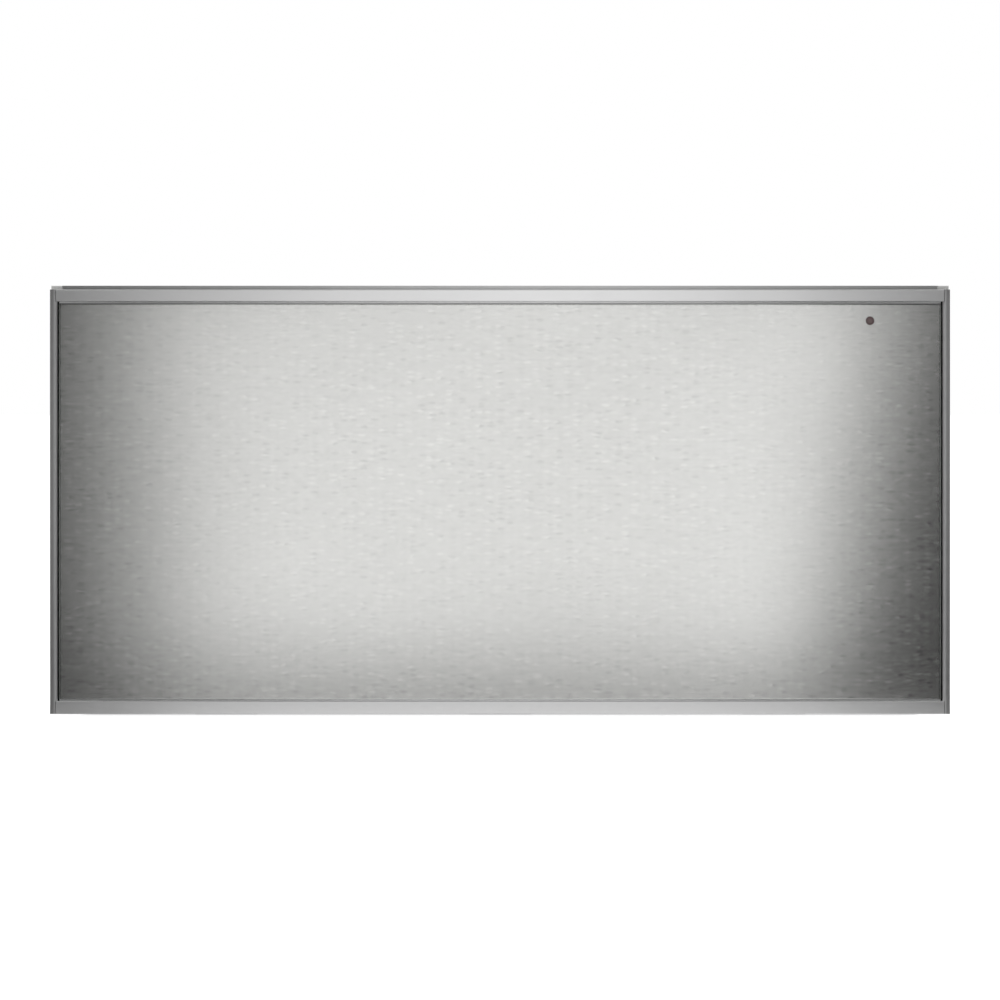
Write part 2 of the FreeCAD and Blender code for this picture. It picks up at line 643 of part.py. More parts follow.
def drawer_side():
    """Right side panel with folded flanges."""
    y0 = FRONT_REAR_Y
    z0 = DRAWER_FLOOR_Z
    inner = DRAWER_WALL_X
    panel = block(inner, DRAWER_X, y0, DRAWER_BACK_Y, z0, RIM_UNDER_Z)
    top = block(BULKHEAD_X, inner, y0 + SHEET, DRAWER_BACK_Y, RIM_UNDER_Z - SHEET, RIM_UNDER_Z)
    bottom = block(BULKHEAD_X, inner, y0 + SHEET, DRAWER_BACK_Y, z0, z0 + SHEET)
    front = block(inner - FRONT_FLANGE, inner, y0, y0 + SHEET, z0, RIM_UNDER_Z)
    panel = joined([panel, top, bottom, front])
    radius = RIVET_RADIUS + HOLE_PLAY
    tools = [rod(inner - SHEET, y, RAIL_Z, radius, 3 * SHEET, X_AXIS) for y in rail_fixing_ys()]
    for z in front_screw_zs():
        tools.append(rod(front_screw_x(), y0 - SHEET, z, radius, 3 * SHEET, Y_AXIS))
    return panel.cut(tools)


def front_screw_x():
    """X of the screws between the right side panel and the front."""
    return DRAWER_WALL_X - FRONT_FLANGE / 2


def front_screw_zs():
    """Heights of the screws between a side panel and the front."""
    middle = (DRAWER_FLOOR_Z + RIM_UNDER_Z) / 2
    reach = (RIM_UNDER_Z - DRAWER_FLOOR_Z) / 2 - FRONT_SCREW_FROM_END
    return [middle - reach, middle, middle + reach]


def drawer_floor_pan():
    """Floor of the drawer box, under the insulation."""
    pan = block(-DRAWER_X, DRAWER_X, FRONT_REAR_Y, DRAWER_REAR_Y, DRAWER_UNDER_Z, DRAWER_FLOOR_Z)
    middle_y = (FRONT_REAR_Y + DRAWER_REAR_Y) / 2
    tools = []
    for x in (-PAN_VENT_X, 0, PAN_VENT_X):
        tools += vent_row(x, DRAWER_REAR_Y - PAN_VENT_FROM_BACK, DRAWER_UNDER_Z, 9, X_AXIS, Y_AXIS, Z_AXIS)
    for x in (PAN_SLOT_FROM_SIDE - TUB_X, TUB_X - PAN_SLOT_FROM_SIDE):
        centre = V(x, middle_y, DRAWER_UNDER_Z)
        tools.append(slot_tool(centre, PAN_SLOT_LENGTH, PAN_SLOT_WIDTH, Y_AXIS, Z_AXIS, 4 * SHEET))
    return pan.cut(tools)


def base_insulation():
    """Insulation board between the floor pan and the heater."""
    z1 = DRAWER_FLOOR_Z + INSULATION_THICKNESS
    return block(-TUB_X, TUB_X, TUB_INSIDE_FRONT_Y, TUB_INSIDE_REAR_Y, DRAWER_FLOOR_Z, z1)


def base_heater_z():
    """Height of the floor heater's middle, just under the tub."""
    return TUB_FLOOR_Z - FIT_GAP - BASE_HEATER_RADIUS


def base_heater():
    """Tubular heater that winds to and fro under the tub's floor."""
    z = base_heater_z()
    first_y = TUB_INSIDE_REAR_Y - BASE_HEATER_FROM_END
    pitch = (TUB_LENGTH - 2 * BASE_HEATER_FROM_END) / (BASE_HEATER_RUNS - 1)
    turn = pitch / 2
    reach = TUB_X - BASE_HEATER_FROM_SIDE - turn
    edges = []
    for index in range(BASE_HEATER_RUNS):
        y = first_y - index * pitch
        side = 1 if index % 2 == 0 else -1
        edges.append(Part.makeLine(V(-side * reach, y, z), V(side * reach, y, z)))
        if index < BASE_HEATER_RUNS - 1:
            middle = V(side * (reach + turn), y - turn, z)
            end = V(side * reach, y - 2 * turn, z)
            edges.append(Part.Arc(V(side * reach, y, z), middle, end).toShape())
    return sweep(edges, BASE_HEATER_RADIUS, V(-reach, first_y, z), X_AXIS)


def tub_liner():
    """Floor and sides of the warm space in one bent sheet, with rims over the side panels."""
    y0 = TUB_INSIDE_FRONT_Y
    outer = TUB_X + SHEET
    diagonal = math.sqrt(0.5)

    def half_outline(x, floor_z, radius):
        """Lines and arc of one side, from the middle of the floor up to the rim."""
        centre = V(x - radius, y0, floor_z + radius)
        middle = centre + V(diagonal * radius, 0, -diagonal * radius)
        low = V(x - radius, y0, floor_z)
        high = V(x, y0, floor_z + radius)
        return low, middle, high

    low_out, mid_out, high_out = half_outline(outer, TUB_FLOOR_Z, TUB_CORNER + SHEET)
    low_in, mid_in, high_in = half_outline(TUB_X, TUB_INSIDE_Z, TUB_CORNER)
    rim = [V(outer, y0, RIM_UNDER_Z), V(DRAWER_X, y0, RIM_UNDER_Z),
           V(DRAWER_X, y0, RIM_Z), V(TUB_X, y0, RIM_Z)]
    edges = [
        Part.makeLine(V(0, y0, TUB_FLOOR_Z), low_out),
        Part.Arc(low_out, mid_out, high_out).toShape(),
        Part.makeLine(high_out, rim[0]),
        Part.makeLine(rim[0], rim[1]),
        Part.makeLine(rim[1], rim[2]),
        Part.makeLine(rim[2], rim[3]),
        Part.makeLine(rim[3], high_in),
        Part.Arc(high_in, mid_in, low_in).toShape(),
        Part.makeLine(low_in, V(0, y0, TUB_INSIDE_Z)),
        Part.makeLine(V(0, y0, TUB_INSIDE_Z), V(0, y0, TUB_FLOOR_Z)),
    ]
    half = Part.Face(Part.Wire(edges)).extrude(Y_AXIS * TUB_LENGTH)
    return joined([half, mirrored(half)])


def bulkhead(y):
    """A plain cross wall of the drawer box."""
    return block(-BULKHEAD_X, BULKHEAD_X, y, y + SHEET, DRAWER_FLOOR_Z, RIM_UNDER_Z)


def tub_front_wall():
    """Front wall of the warm space."""
    return bulkhead(TUB_FRONT_Y)


def tub_back_wall():
    """Back wall of the warm space, with the fan's inlet and two fields of outlets."""
    wall = bulkhead(TUB_INSIDE_REAR_Y)
    tools = [rod(0, TUB_INSIDE_REAR_Y - SHEET, FAN_Z, GRILLE_OPENING_RADIUS, 3 * SHEET, Y_AXIS)]
    for x in (-OUTLET_X, OUTLET_X):
        for z in (FAN_Z - OUTLET_FROM_FAN, FAN_Z + OUTLET_FROM_FAN):
            tools += vent_row(x, TUB_INSIDE_REAR_Y, z, 9, X_AXIS, Z_AXIS, Y_AXIS)
    return wall.cut(tools)


def corner_reach(lift):
    """How far the tub's bent corner stands in from its side, at a height above the floor."""
    return TUB_CORNER - math.sqrt(TUB_CORNER ** 2 - max(TUB_CORNER - lift, 0) ** 2)


def glass_base_plate():
    """Toughened glass plate that the dishes stand on."""
    z0 = TUB_INSIDE_Z + PAD_HEIGHT
    x = TUB_X - corner_reach(PAD_HEIGHT) - GLASS_BASE_INSET
    y0 = TUB_INSIDE_FRONT_Y + GLASS_BASE_INSET
    y1 = TUB_INSIDE_REAR_Y - GLASS_BASE_INSET
    plate = block(-x, x, y0, y1, z0, z0 + GLASS_BASE_THICKNESS)
    corners = [e for e in plate.Edges if e.BoundBox.ZLength > GLASS_BASE_THICKNESS / 2]
    plate = plate.makeFillet(GLASS_BASE_CORNER, corners)
    top = [e for e in plate.Edges if e.BoundBox.ZMin > z0 + GLASS_BASE_THICKNESS - NEAR]
    return plate.makeChamfer(PANE_EDGE, top)


def glass_pads():
    """Silicone pads between the tub's floor and the glass plate."""
    solids = []
    reach_x = TUB_X - TUB_CORNER - PAD_LENGTH
    for x in (-reach_x, 0, reach_x):
        for y in (TUB_INSIDE_FRONT_Y + PAD_FROM_END, TUB_INSIDE_REAR_Y - PAD_FROM_END):
            pad = block(x - PAD_LENGTH / 2, x + PAD_LENGTH / 2, y - PAD_WIDTH / 2, y + PAD_WIDTH / 2,
                        TUB_INSIDE_Z, TUB_INSIDE_Z + PAD_HEIGHT)
            solids.append(pad)
    return group(solids)


def drawer_back_panel():
    """Back panel of the drawer, with vents, the ejector's strike plate and the lead's clamp."""
    wall = block(-DRAWER_X, DRAWER_X, DRAWER_BACK_Y, DRAWER_REAR_Y, DRAWER_FLOOR_Z, RIM_UNDER_Z)
    tools = []
    for x in (-PANEL_VENT_X, PANEL_VENT_X):
        for z in (RIM_UNDER_Z - PANEL_VENT_BELOW_RIM, DRAWER_FLOOR_Z + PANEL_VENT_OVER_FLOOR):
            tools += vent_row(x, DRAWER_REAR_Y, z, 11, X_AXIS, Z_AXIS, Y_AXIS)
    width, depth, height = LEAD_CLAMP
    x, y, z = lead_end()
    clamp = block(x - width / 2, x + width / 2, DRAWER_REAR_Y, y + depth / 2, z, z + height)
    return joined([wall.cut(tools), clamp])


# Fan and circulating heater

def fan_grille():
    """Pressed grille disc over the fan's inlet, on the warm side of the wall."""
    y0 = TUB_INSIDE_REAR_Y - SHEET
    disc = rod(0, y0, FAN_Z, GRILLE_RADIUS, SHEET, Y_AXIS)
    tools = []
    for ring_radius, length, count in zip(GRILLE_RING_RADII, GRILLE_SLOT_LENGTHS, GRILLE_SLOT_COUNTS):
        for index in range(count):
            angle = 2 * math.pi * index / count
            radial = V(math.cos(angle), 0, math.sin(angle))
            tangent = V(-math.sin(angle), 0, math.cos(angle))
            centre = V(0, y0, FAN_Z) + radial * ring_radius
            tools.append(slot_tool(centre, length, GRILLE_SLOT_WIDTH, tangent, Y_AXIS, 4 * SHEET))
    return disc.cut(tools)


def fan_wheel():
    """Radial fan wheel with forward blades, pressed on its shaft."""
    y0 = TUB_REAR_Y + FAN_WALL_GAP
    back_y = y0 + FAN_DEPTH
    hub_y = y0 + FAN_DEPTH / 3
    disc = rod(0, back_y - SHEET, FAN_Z, FAN_RADIUS, SHEET, Y_AXIS)
    hub = rod(0, hub_y, FAN_Z, FAN_HUB_RADIUS, back_y - hub_y, Y_AXIS)
    rim = rod(0, y0, FAN_Z, FAN_RADIUS, SHEET, Y_AXIS)
    rim = rim.cut(rod(0, y0 - SHEET, FAN_Z, FAN_BLADE_INNER + FAN_EYE_LIP, 3 * SHEET, Y_AXIS))
    blades = []
    length = FAN_RADIUS - FAN_BLADE_INNER
    for index in range(FAN_BLADES):
        blade = block(0, length, y0, back_y, -FAN_BLADE_SHEET / 2, FAN_BLADE_SHEET / 2)
        blade.rotate(ORIGIN, Y_AXIS, FAN_BLADE_ANGLE)
        blade.translate(V(FAN_BLADE_INNER, 0, 0))
        blade.rotate(ORIGIN, Y_AXIS, 360.0 * index / FAN_BLADES)
        blade.translate(V(0, 0, FAN_Z))
        blades.append(blade)
    wheel = joined([disc, hub, rim] + blades)
    shaft_start = hub_y - SHEET
    shaft_length = BRACKET_PLATE_Y + SHEET + MOTOR_LENGTH + SHEET - shaft_start
    bore = rod(0, shaft_start - SHEET, FAN_Z, SHAFT_RADIUS, FAN_DEPTH * 2, Y_AXIS)
    shaft = rod(0, shaft_start, FAN_Z, SHAFT_RADIUS, shaft_length, Y_AXIS)
    return group([wheel.cut(bore), shaft])


def motor_bracket():
    """Hat-shaped bracket that carries the motor off the tub's back wall."""
    x = BRACKET_HALF_WIDTH
    z0 = FAN_Z - BRACKET_HALF_HEIGHT
    z1 = FAN_Z + BRACKET_HALF_HEIGHT
    plate = block(-x, x, BRACKET_PLATE_Y, BRACKET_PLATE_Y + SHEET, z0, z1)
    parts = [plate]
    for side in (-1, 1):
        x0, x1 = sorted((side * x, side * (x - SHEET)))
        parts.append(block(x0, x1, TUB_REAR_Y, BRACKET_PLATE_Y, z0, z1))
        x0, x1 = sorted((side * x, side * (x + BRACKET_FOOT)))
        parts.append(block(x0, x1, TUB_REAR_Y, TUB_REAR_Y + SHEET, z0, z1))
    bracket = joined(parts)
    tools = [rod(0, BRACKET_PLATE_Y - SHEET, FAN_Z, 2 * SHAFT_RADIUS, 3 * SHEET, Y_AXIS)]
    radius = RING_TUBE_RADIUS + FIT_GAP
    for x, z in ring_leg_places():
        tools.append(rod(x, BRACKET_PLATE_Y - SHEET, z, radius, 3 * SHEET, Y_AXIS))
    return bracket.cut(tools)


def fan_motor():
    """Shaded-pole motor, shown as its can with a bearing boss and a coil block."""
    y0 = BRACKET_PLATE_Y + SHEET
    can = rod(0, y0, FAN_Z, MOTOR_RADIUS, MOTOR_CAN_LENGTH, Y_AXIS)
    boss = rod(0, y0, FAN_Z, MOTOR_BOSS_RADIUS, MOTOR_LENGTH, Y_AXIS)
    coil_y = y0 + COIL_SETBACK
    coil = block(-COIL_WIDTH / 2, COIL_WIDTH / 2, coil_y, coil_y + COIL_DEPTH,
                 FAN_Z - MOTOR_RADIUS - COIL_BELOW_CAN, FAN_Z - COIL_TOP_BELOW_AXIS)
    body = joined([can, boss, coil])
    return body.cut(rod(0, y0 - SHEET, FAN_Z, SHAFT_RADIUS + SHAFT_PLAY, MOTOR_LENGTH + 2 * SHEET, Y_AXIS))


def ring_end_angle():
    """Angle from straight down to each end of the ring heater's arc."""
    return math.radians(RING_OPENING_DEG / 2)


def ring_leg_places():
    """X and Z where the two legs of the ring heater pass the bracket."""
    angle = ring_end_angle()
    x = RING_RADIUS * math.sin(angle) - RING_BEND * math.cos(angle)
    z = FAN_Z - RING_RADIUS * math.cos(angle) - RING_BEND * math.sin(angle)
    return [(x, z), (-x, z)]


def ring_heater():
    """Ring heater round the fan, its two legs bent back through the bracket."""
    y = TUB_REAR_Y + FAN_WALL_GAP + FAN_DEPTH / 2
    leg_end = BRACKET_PLATE_Y + SHEET + FLANGE
    angle = ring_end_angle()
    bend_share = 1 - math.sqrt(0.5)
    (x, z), _ = ring_leg_places()
    start = V(x, leg_end, z)
    bend_from = V(x, y + RING_BEND, z)
    ring_start = V(RING_RADIUS * math.sin(angle), y, FAN_Z - RING_RADIUS * math.cos(angle))
    along = ring_start - V(x, y, z)
    bend_mid = V(x, y, z) + along * bend_share + Y_AXIS * (RING_BEND * bend_share)
    top = V(0, y, FAN_Z + RING_RADIUS)

    def other(point):
        return V(-point.x, point.y, point.z)

    edges = [
        Part.makeLine(start, bend_from),
        Part.Arc(bend_from, bend_mid, ring_start).toShape(),
        Part.Arc(ring_start, top, other(ring_start)).toShape(),
        Part.Arc(other(ring_start), other(bend_mid), other(bend_from)).toShape(),
        Part.makeLine(other(bend_from), other(start)),
    ]
    return sweep(edges, RING_TUBE_RADIUS, start, Y_AXIS)


def heat_limiter():
    """Snap-disc limiter on the back of the motor bracket."""
    x = BRACKET_HALF_WIDTH - 2 * LIMITER_RADIUS
    z = FAN_Z + BRACKET_HALF_HEIGHT - 2 * LIMITER_RADIUS
    y0 = BRACKET_PLATE_Y + SHEET
    disc = rod(x, y0, z, LIMITER_RADIUS, LIMITER_LENGTH, Y_AXIS)
    thickness, length, width = LIMITER_TAB
    y1 = y0 + LIMITER_LENGTH
    tabs = []
    for tab_x in (x - LIMITER_TAB_X, x + LIMITER_TAB_X):
        half = thickness / 2
        tabs.append(block(tab_x - half, tab_x + half, y1, y1 + length, z - width / 2, z + width / 2))
    return joined([disc] + tabs)


def fan_compartment_cover():
    """Lid over the fan space behind the warm space."""
    cover = block(-DRAWER_X, DRAWER_X, TUB_INSIDE_REAR_Y, DRAWER_REAR_Y, RIM_UNDER_Z, RIM_Z)
    tools = []
    for x in (-PAN_VENT_X, 0, PAN_VENT_X):
        tools += vent_row(x, (TUB_REAR_Y + DRAWER_BACK_Y) / 2, RIM_Z, 7, X_AXIS, Y_AXIS, Z_AXIS)
    return cover.cut(tools)


# Front

def frame_side():
    """Right bar of the front frame: full-height leg with a glazing lip between the bars."""
    leg = block(BAR_INNER_X, FRONT_X, FRONT_FACE_Y, FRONT_REAR_Y, FRONT_BOTTOM_Z, FRONT_TOP_Z)
    leg = leg.makeChamfer(BAR_EDGE, long_front_edges(leg))
    z0 = BOTTOM_BAR_Z
    z1 = TOP_BAR_Z
    y0 = FRONT_FACE_Y + BAR_EDGE
    lip = block(LIP_INNER_X, BAR_INNER_X, y0, y0 + SIDE_LIP_DEPTH, z0, z1)
    bevel_edges = [e for e in lip.Edges
                   if e.BoundBox.XMax < LIP_INNER_X + NEAR and e.BoundBox.YMax < y0 + NEAR]
    lip = lip.makeChamfer(SIDE_LIP_CHAMFER, bevel_edges)
    return joined([leg, lip])


def long_front_edges(bar):
    """The two long edges of a bar's front face."""
    longest = max(e.Length for e in bar.Edges)
    return [e for e in bar.Edges if e.BoundBox.YMax < FRONT_FACE_Y + NEAR and e.Length > longest - NEAR]


def frame_bar(z0, z1):
    """Hollow bar across the front, between the side bars."""
    x = BAR_INNER_X - BAR_SEAM
    bar = block(-x, x, FRONT_FACE_Y, FRONT_REAR_Y, z0, z1)
    bar = bar.makeChamfer(BAR_EDGE, long_front_edges(bar))
    wall = BAR_WALL
    bore = block(-x - wall, x + wall, FRONT_FACE_Y + wall, FRONT_REAR_Y - wall, z0 + wall, z1 - wall)
    return bar.cut(bore)


def front_glass():
    """Pane of the front, with ground edges."""
    pane = block(-PANE_X, PANE_X, PANE_FACE_Y, STEEL_PANEL_Y, PANE_BOTTOM_Z, PANE_TOP_Z)
    return pane.makeChamfer(PANE_EDGE, [e for e in pane.Edges if e.BoundBox.YMax < PANE_FACE_Y + NEAR])


def front_steel_panel():
    """Brushed steel sheet behind the pane, with the indicator's hole."""
    sheet = block(-PANE_X, PANE_X, STEEL_PANEL_Y, SEAL_LAND_Y, PANE_BOTTOM_Z, PANE_TOP_Z)
    radius = LENS_RADIUS + HOLE_PLAY
    return sheet.cut(rod(INDICATOR_X, STEEL_PANEL_Y - SHEET, INDICATOR_Z, radius, 3 * SHEET, Y_AXIS))


def pocket(y0, y1, inset):
    """The space inside the frame between two depths, drawn in by an inset."""
    x = LIP_INNER_X - inset
    return block(-x, x, y0, y1, BOTTOM_BAR_Z + inset, TOP_BAR_Z - inset)


def glass_seal():
    """Black gasket round the pane, with a lip behind the steel panel."""
    y0 = FRONT_FACE_Y + SEAL_RECESS
    ring = pocket(y0, SEAL_REAR_Y, 0)
    pane_space = block(-PANE_X, PANE_X, y0 - SHEET, SEAL_LAND_Y, PANE_BOTTOM_Z, PANE_TOP_Z)
    return ring.cut([pane_space, pocket(SEAL_LAND_Y - SHEET, SEAL_REAR_Y + SHEET, SEAL_LIP)])


def front_inner_panel():
    """Shallow tray that closes the back of the front and presses the gasket home."""
    tray = pocket(SEAL_REAR_Y, FRONT_REAR_Y, 0)
    tray = tray.cut(pocket(SEAL_REAR_Y - SHEET, FRONT_REAR_Y - TRAY_WALL, TRAY_WALL))
    radius = RIVET_RADIUS + HOLE_PLAY
    y0 = FRONT_REAR_Y - 2 * TRAY_WALL
    tools = [rod(INDICATOR_X, y0, INDICATOR_Z, GUIDE_RADIUS + HOLE_PLAY, 4 * TRAY_WALL, Y_AXIS)]
    for side in (-1, 1):
        for z in front_screw_zs():
            tools.append(rod(side * front_screw_x(), y0, z, radius, 4 * TRAY_WALL, Y_AXIS))
    return tray.cut(tools)


def led_housing_y():
    """Front of the lamp housing on the control module."""
    return FRONT_REAR_Y + LED_HOUSING


def indicator_light_guide():
    """Red lens behind the pane, in one piece with its light guide."""
    lens = rod(INDICATOR_X, STEEL_PANEL_Y, INDICATOR_Z, LENS_RADIUS, LENS_LENGTH, Y_AXIS)
    guide_length = led_housing_y() - STEEL_PANEL_Y
    guide = rod(INDICATOR_X, STEEL_PANEL_Y, INDICATOR_Z, GUIDE_RADIUS, guide_length, Y_AXIS)
    return joined([lens, guide])


# Controls

def control_panel():
    """Ledge behind the front that holds the knob."""
    ledge = block(-DRAWER_X, DRAWER_X, FRONT_REAR_Y, TUB_INSIDE_FRONT_Y, RIM_UNDER_Z, RIM_Z)
    drop = block(-BULKHEAD_X + FLANGE, BULKHEAD_X - FLANGE, FRONT_REAR_Y, FRONT_REAR_Y + SHEET,
                 RIM_UNDER_Z - FLANGE, RIM_UNDER_Z)
    panel = joined([ledge, drop])
    radius = GUIDE_RADIUS + HOLE_PLAY
    guide_hole = rod(INDICATOR_X, FRONT_REAR_Y - SHEET, INDICATOR_Z, radius, 3 * SHEET, Y_AXIS)
    stem_hole = rod(KNOB_X, knob_y(), RIM_Z - 2 * SHEET, KNOB_STEM_RADIUS + FIT_GAP, 3 * SHEET, Z_AXIS)
    return panel.cut([guide_hole, stem_hole])


def knob_y():
    """Y of the knob's axis, in the middle of the ledge."""
    return (FRONT_REAR_Y + TUB_FRONT_Y) / 2


def selector_knob():
    """Fluted knob with a pointer rib and its stem."""
    y = knob_y()
    z0 = RIM_Z + KNOB_LIFT
    body = rod(KNOB_X, y, z0, KNOB_RADIUS, KNOB_HEIGHT, Z_AXIS)
    z1 = z0 + KNOB_HEIGHT
    body = body.makeFillet(KNOB_ROUND, [e for e in body.Edges if e.BoundBox.ZMin > z1 - NEAR])
    flutes = []
    reach = KNOB_RADIUS + FLUTE_OUT
    for index in range(KNOB_FLUTES):
        angle = 2 * math.pi * index / KNOB_FLUTES
        x = KNOB_X + reach * math.cos(angle)
        flutes.append(rod(x, y + reach * math.sin(angle), z0 - SHEET, FLUTE_RADIUS, KNOB_HEIGHT, Z_AXIS))
    body = body.cut(flutes)
    half = POINTER_WIDTH / 2
    rib = block(KNOB_X - half, KNOB_X + half, y - KNOB_RADIUS + POINTER_INSET, y,
                z0 + KNOB_HEIGHT / 2, z1 + POINTER_PROUD)
    stem = rod(KNOB_X, y, z0 - KNOB_STEM_LENGTH, KNOB_STEM_RADIUS, KNOB_STEM_LENGTH + SHEET, Z_AXIS)
    return joined([body, rib, stem])


def selector_switch():
    """Rotary switch under the ledge; the knob's stem turns in its bore."""
    y = knob_y()
    half = SWITCH_WIDTH / 2
    body = block(KNOB_X - half, KNOB_X + half, y - half, y + half, RIM_UNDER_Z - SWITCH_HEIGHT, RIM_UNDER_Z)
    bore_start = RIM_Z + KNOB_LIFT - KNOB_STEM_LENGTH - SHEET
    bore = rod(KNOB_X, y, bore_start, KNOB_STEM_RADIUS + SHAFT_PLAY, KNOB_STEM_LENGTH + SHEET, Z_AXIS)
    return body.cut(bore)


def control_module():
    """Control electronics under the switch, with the lamp housing for the light guide."""
    z1 = RIM_UNDER_Z - SWITCH_HEIGHT
    x0 = MODULE_RIGHT_X - MODULE_WIDTH
    y0 = FRONT_REAR_Y + SHEET + FIT_GAP + MODULE_FRONT_GAP
    body = block(x0, MODULE_RIGHT_X, y0, TUB_FRONT_Y, z1 - MODULE_HEIGHT, z1)
    half = LED_HOUSING / 2
    lamp_y = led_housing_y()
    lamp = block(INDICATOR_X - half, INDICATOR_X + half, lamp_y, lamp_y + LED_HOUSING, z1, RIM_UNDER_Z)
    plug_x = x0 + PLUG_FROM_LEFT
    plug = block(plug_x, plug_x + PLUG_WIDTH, y0 + PLUG_INSET, TUB_FRONT_Y - PLUG_INSET, z1, z1 + PLUG_HEIGHT)
    return joined([body, lamp, plug])


# Back of the appliance

def terminal_outline(gap):
    """X and Z limits of the terminal box, widened by a gap."""
    x1 = TERMINAL_LEFT_X + TERMINAL_WIDTH
    z1 = TERMINAL_BOTTOM_Z + TERMINAL_HEIGHT
    return TERMINAL_LEFT_X - gap, x1 + gap, TERMINAL_BOTTOM_Z - gap, z1 + gap


def gland_place():
    """X and Z of the mains cord's gland."""
    return TERMINAL_LEFT_X + GLAND_FROM_LEFT, TERMINAL_BOTTOM_Z + TERMINAL_HEIGHT / 2


def terminal_box():
    """Mains terminal box, let into the back sheet, with a rim outside it."""
    x0, x1, z0, z1 = terminal_outline(0)
    wall = HOUSING_WALL
    front = CASING_BACK_Y - TERMINAL_INSIDE
    rear = CASING_REAR_Y + TERMINAL_PROUD
    box = block(x0, x1, front, rear, z0, z1)
    x2, x3, z2, z3 = terminal_outline(TERMINAL_RIM)
    rim = block(x2, x3, CASING_REAR_Y, CASING_REAR_Y + wall, z2, z3)
    hollow = block(x0 + wall, x1 - wall, front + wall, rear - wall, z0 + wall, z1 - wall)
    gx, gz = gland_place()
    gland_hole = rod(gx, rear - 2 * wall, gz, GLAND_RADIUS + GLAND_WALL, 4 * wall, Y_AXIS)
    return joined([box, rim]).cut([hollow, gland_hole])


def mains_gland():
    """Bush for the mains cord in the terminal box's wall, with a collar inside it."""
    gx, gz = gland_place()
    rear = CASING_REAR_Y + TERMINAL_PROUD
    sleeve = rod(gx, rear - GLAND_LENGTH, gz, GLAND_RADIUS + GLAND_WALL, GLAND_LENGTH, Y_AXIS)
    nut_radius = GLAND_RADIUS + GLAND_WALL + GLAND_NUT_OVER
    nut = rod(gx, rear - HOUSING_WALL - GLAND_NUT, gz, nut_radius, GLAND_NUT, Y_AXIS)
    bore = rod(gx, rear - GLAND_LENGTH - SHEET, gz, GLAND_RADIUS, GLAND_LENGTH + 2 * SHEET, Y_AXIS)
    return joined([sleeve, nut]).cut(bore)


def housing_front_y():
    """Front face of the ejector's housing."""
    return PLUNGER_TIP_Y + PLUNGER_OUT


def flange_y():
    """Front of the plunger's flange, which rests behind the housing's front wall."""
    return housing_front_y() + HOUSING_WALL + HOLE_PLAY


def ejector_housing():
    """Housing of the push-to-open ejector, on the casing's back sheet."""
    half = EJECTOR_WIDTH / 2
    y0 = housing_front_y()
    body = block(-half, half, y0, CASING_BACK_Y, EJECTOR_Z - half, EJECTOR_Z + half)
    cavity_start = y0 + HOUSING_WALL
    cavity = rod(0, cavity_start, EJECTOR_Z, PLUNGER_FLANGE_RADIUS + 2 * FIT_GAP,
                 CASING_BACK_Y - HOUSING_WALL - cavity_start, Y_AXIS)
    bore = rod(0, y0 - SHEET, EJECTOR_Z, PLUNGER_RADIUS + PLUNGER_PLAY, HOUSING_WALL + 2 * SHEET, Y_AXIS)
    return body.cut([cavity, bore])


def ejector_plunger():
    """Plunger that the drawer's back meets when the front is pushed."""
    stem_end = CASING_BACK_Y - HOUSING_WALL - EJECTOR_STROKE - FIT_GAP
    stem = rod(0, PLUNGER_TIP_Y, EJECTOR_Z, PLUNGER_RADIUS, stem_end - PLUNGER_TIP_Y, Y_AXIS)
    flange = rod(0, flange_y(), EJECTOR_Z, PLUNGER_FLANGE_RADIUS, PLUNGER_FLANGE, Y_AXIS)
    return joined([stem, flange])


def biarc(p0, t0, p1, t1):
    """Two tangent arcs from one point and direction to another."""
    chord = p1 - p0
    both = t0 + t1
    turn = 2 * (1 - t0.dot(t1))
    d = (math.sqrt(chord.dot(both) ** 2 + turn * chord.dot(chord)) - chord.dot(both)) / turn
    corner_a = p0 + t0 * d
    corner_b = p1 - t1 * d
    join = (corner_a + corner_b) / 2
    return [arc_round(p0, corner_a, join), arc_round(join, corner_b, p1)]


def arc_round(start, corner, end):
    """The arc that touches the two lines from a corner at a start and an end."""
    middle = (start + end) / 2
    rise = (corner - middle).Length
    angle = math.atan2(rise, (end - start).Length / 2)
    top = middle + (corner - middle) * (math.tan(angle / 2) / math.tan(angle))
    return Part.Arc(start, top, end).toShape()


def ejector_spring():
    """Return spring between the plunger's flange and the housing's back."""
    start = flange_y() + PLUNGER_FLANGE + SPRING_WIRE_RADIUS + HOLE_PLAY
    end = CASING_BACK_Y - HOUSING_WALL - SPRING_WIRE_RADIUS - HOLE_PLAY
    quarters = 4 * SPRING_TURNS
    rise = (end - start) / quarters
    around = SPRING_RADIUS * math.pi / 2

    def place(index):
        angle = index * math.pi / 2
        x = SPRING_RADIUS * math.cos(angle)
        return V(x, start + index * rise, EJECTOR_Z + SPRING_RADIUS * math.sin(angle))

    def heading(index):
        angle = index * math.pi / 2
        return V(-math.sin(angle) * around, rise, math.cos(angle) * around).normalize()

    edges = []
    for index in range(quarters):
        edges += biarc(place(index), heading(index), place(index + 1), heading(index + 1))
    least = min((place(i + 4) - place(i)).Length for i in range(quarters - 3)) - 2 * SPRING_WIRE_RADIUS
    print("ejector_spring least gap to itself", round(least, 2))
    return sweep(edges, SPRING_WIRE_RADIUS, place(0), heading(0))


def drawer_magnet():
    """Magnet on the drawer's back for the reed switch."""
    width, depth, height = MAGNET_SIZE
    x0 = MAGNET_X - width / 2
    z0 = MAGNET_Z - height / 2
    return block(x0, x0 + width, DRAWER_REAR_Y, DRAWER_REAR_Y + depth, z0, z0 + height)


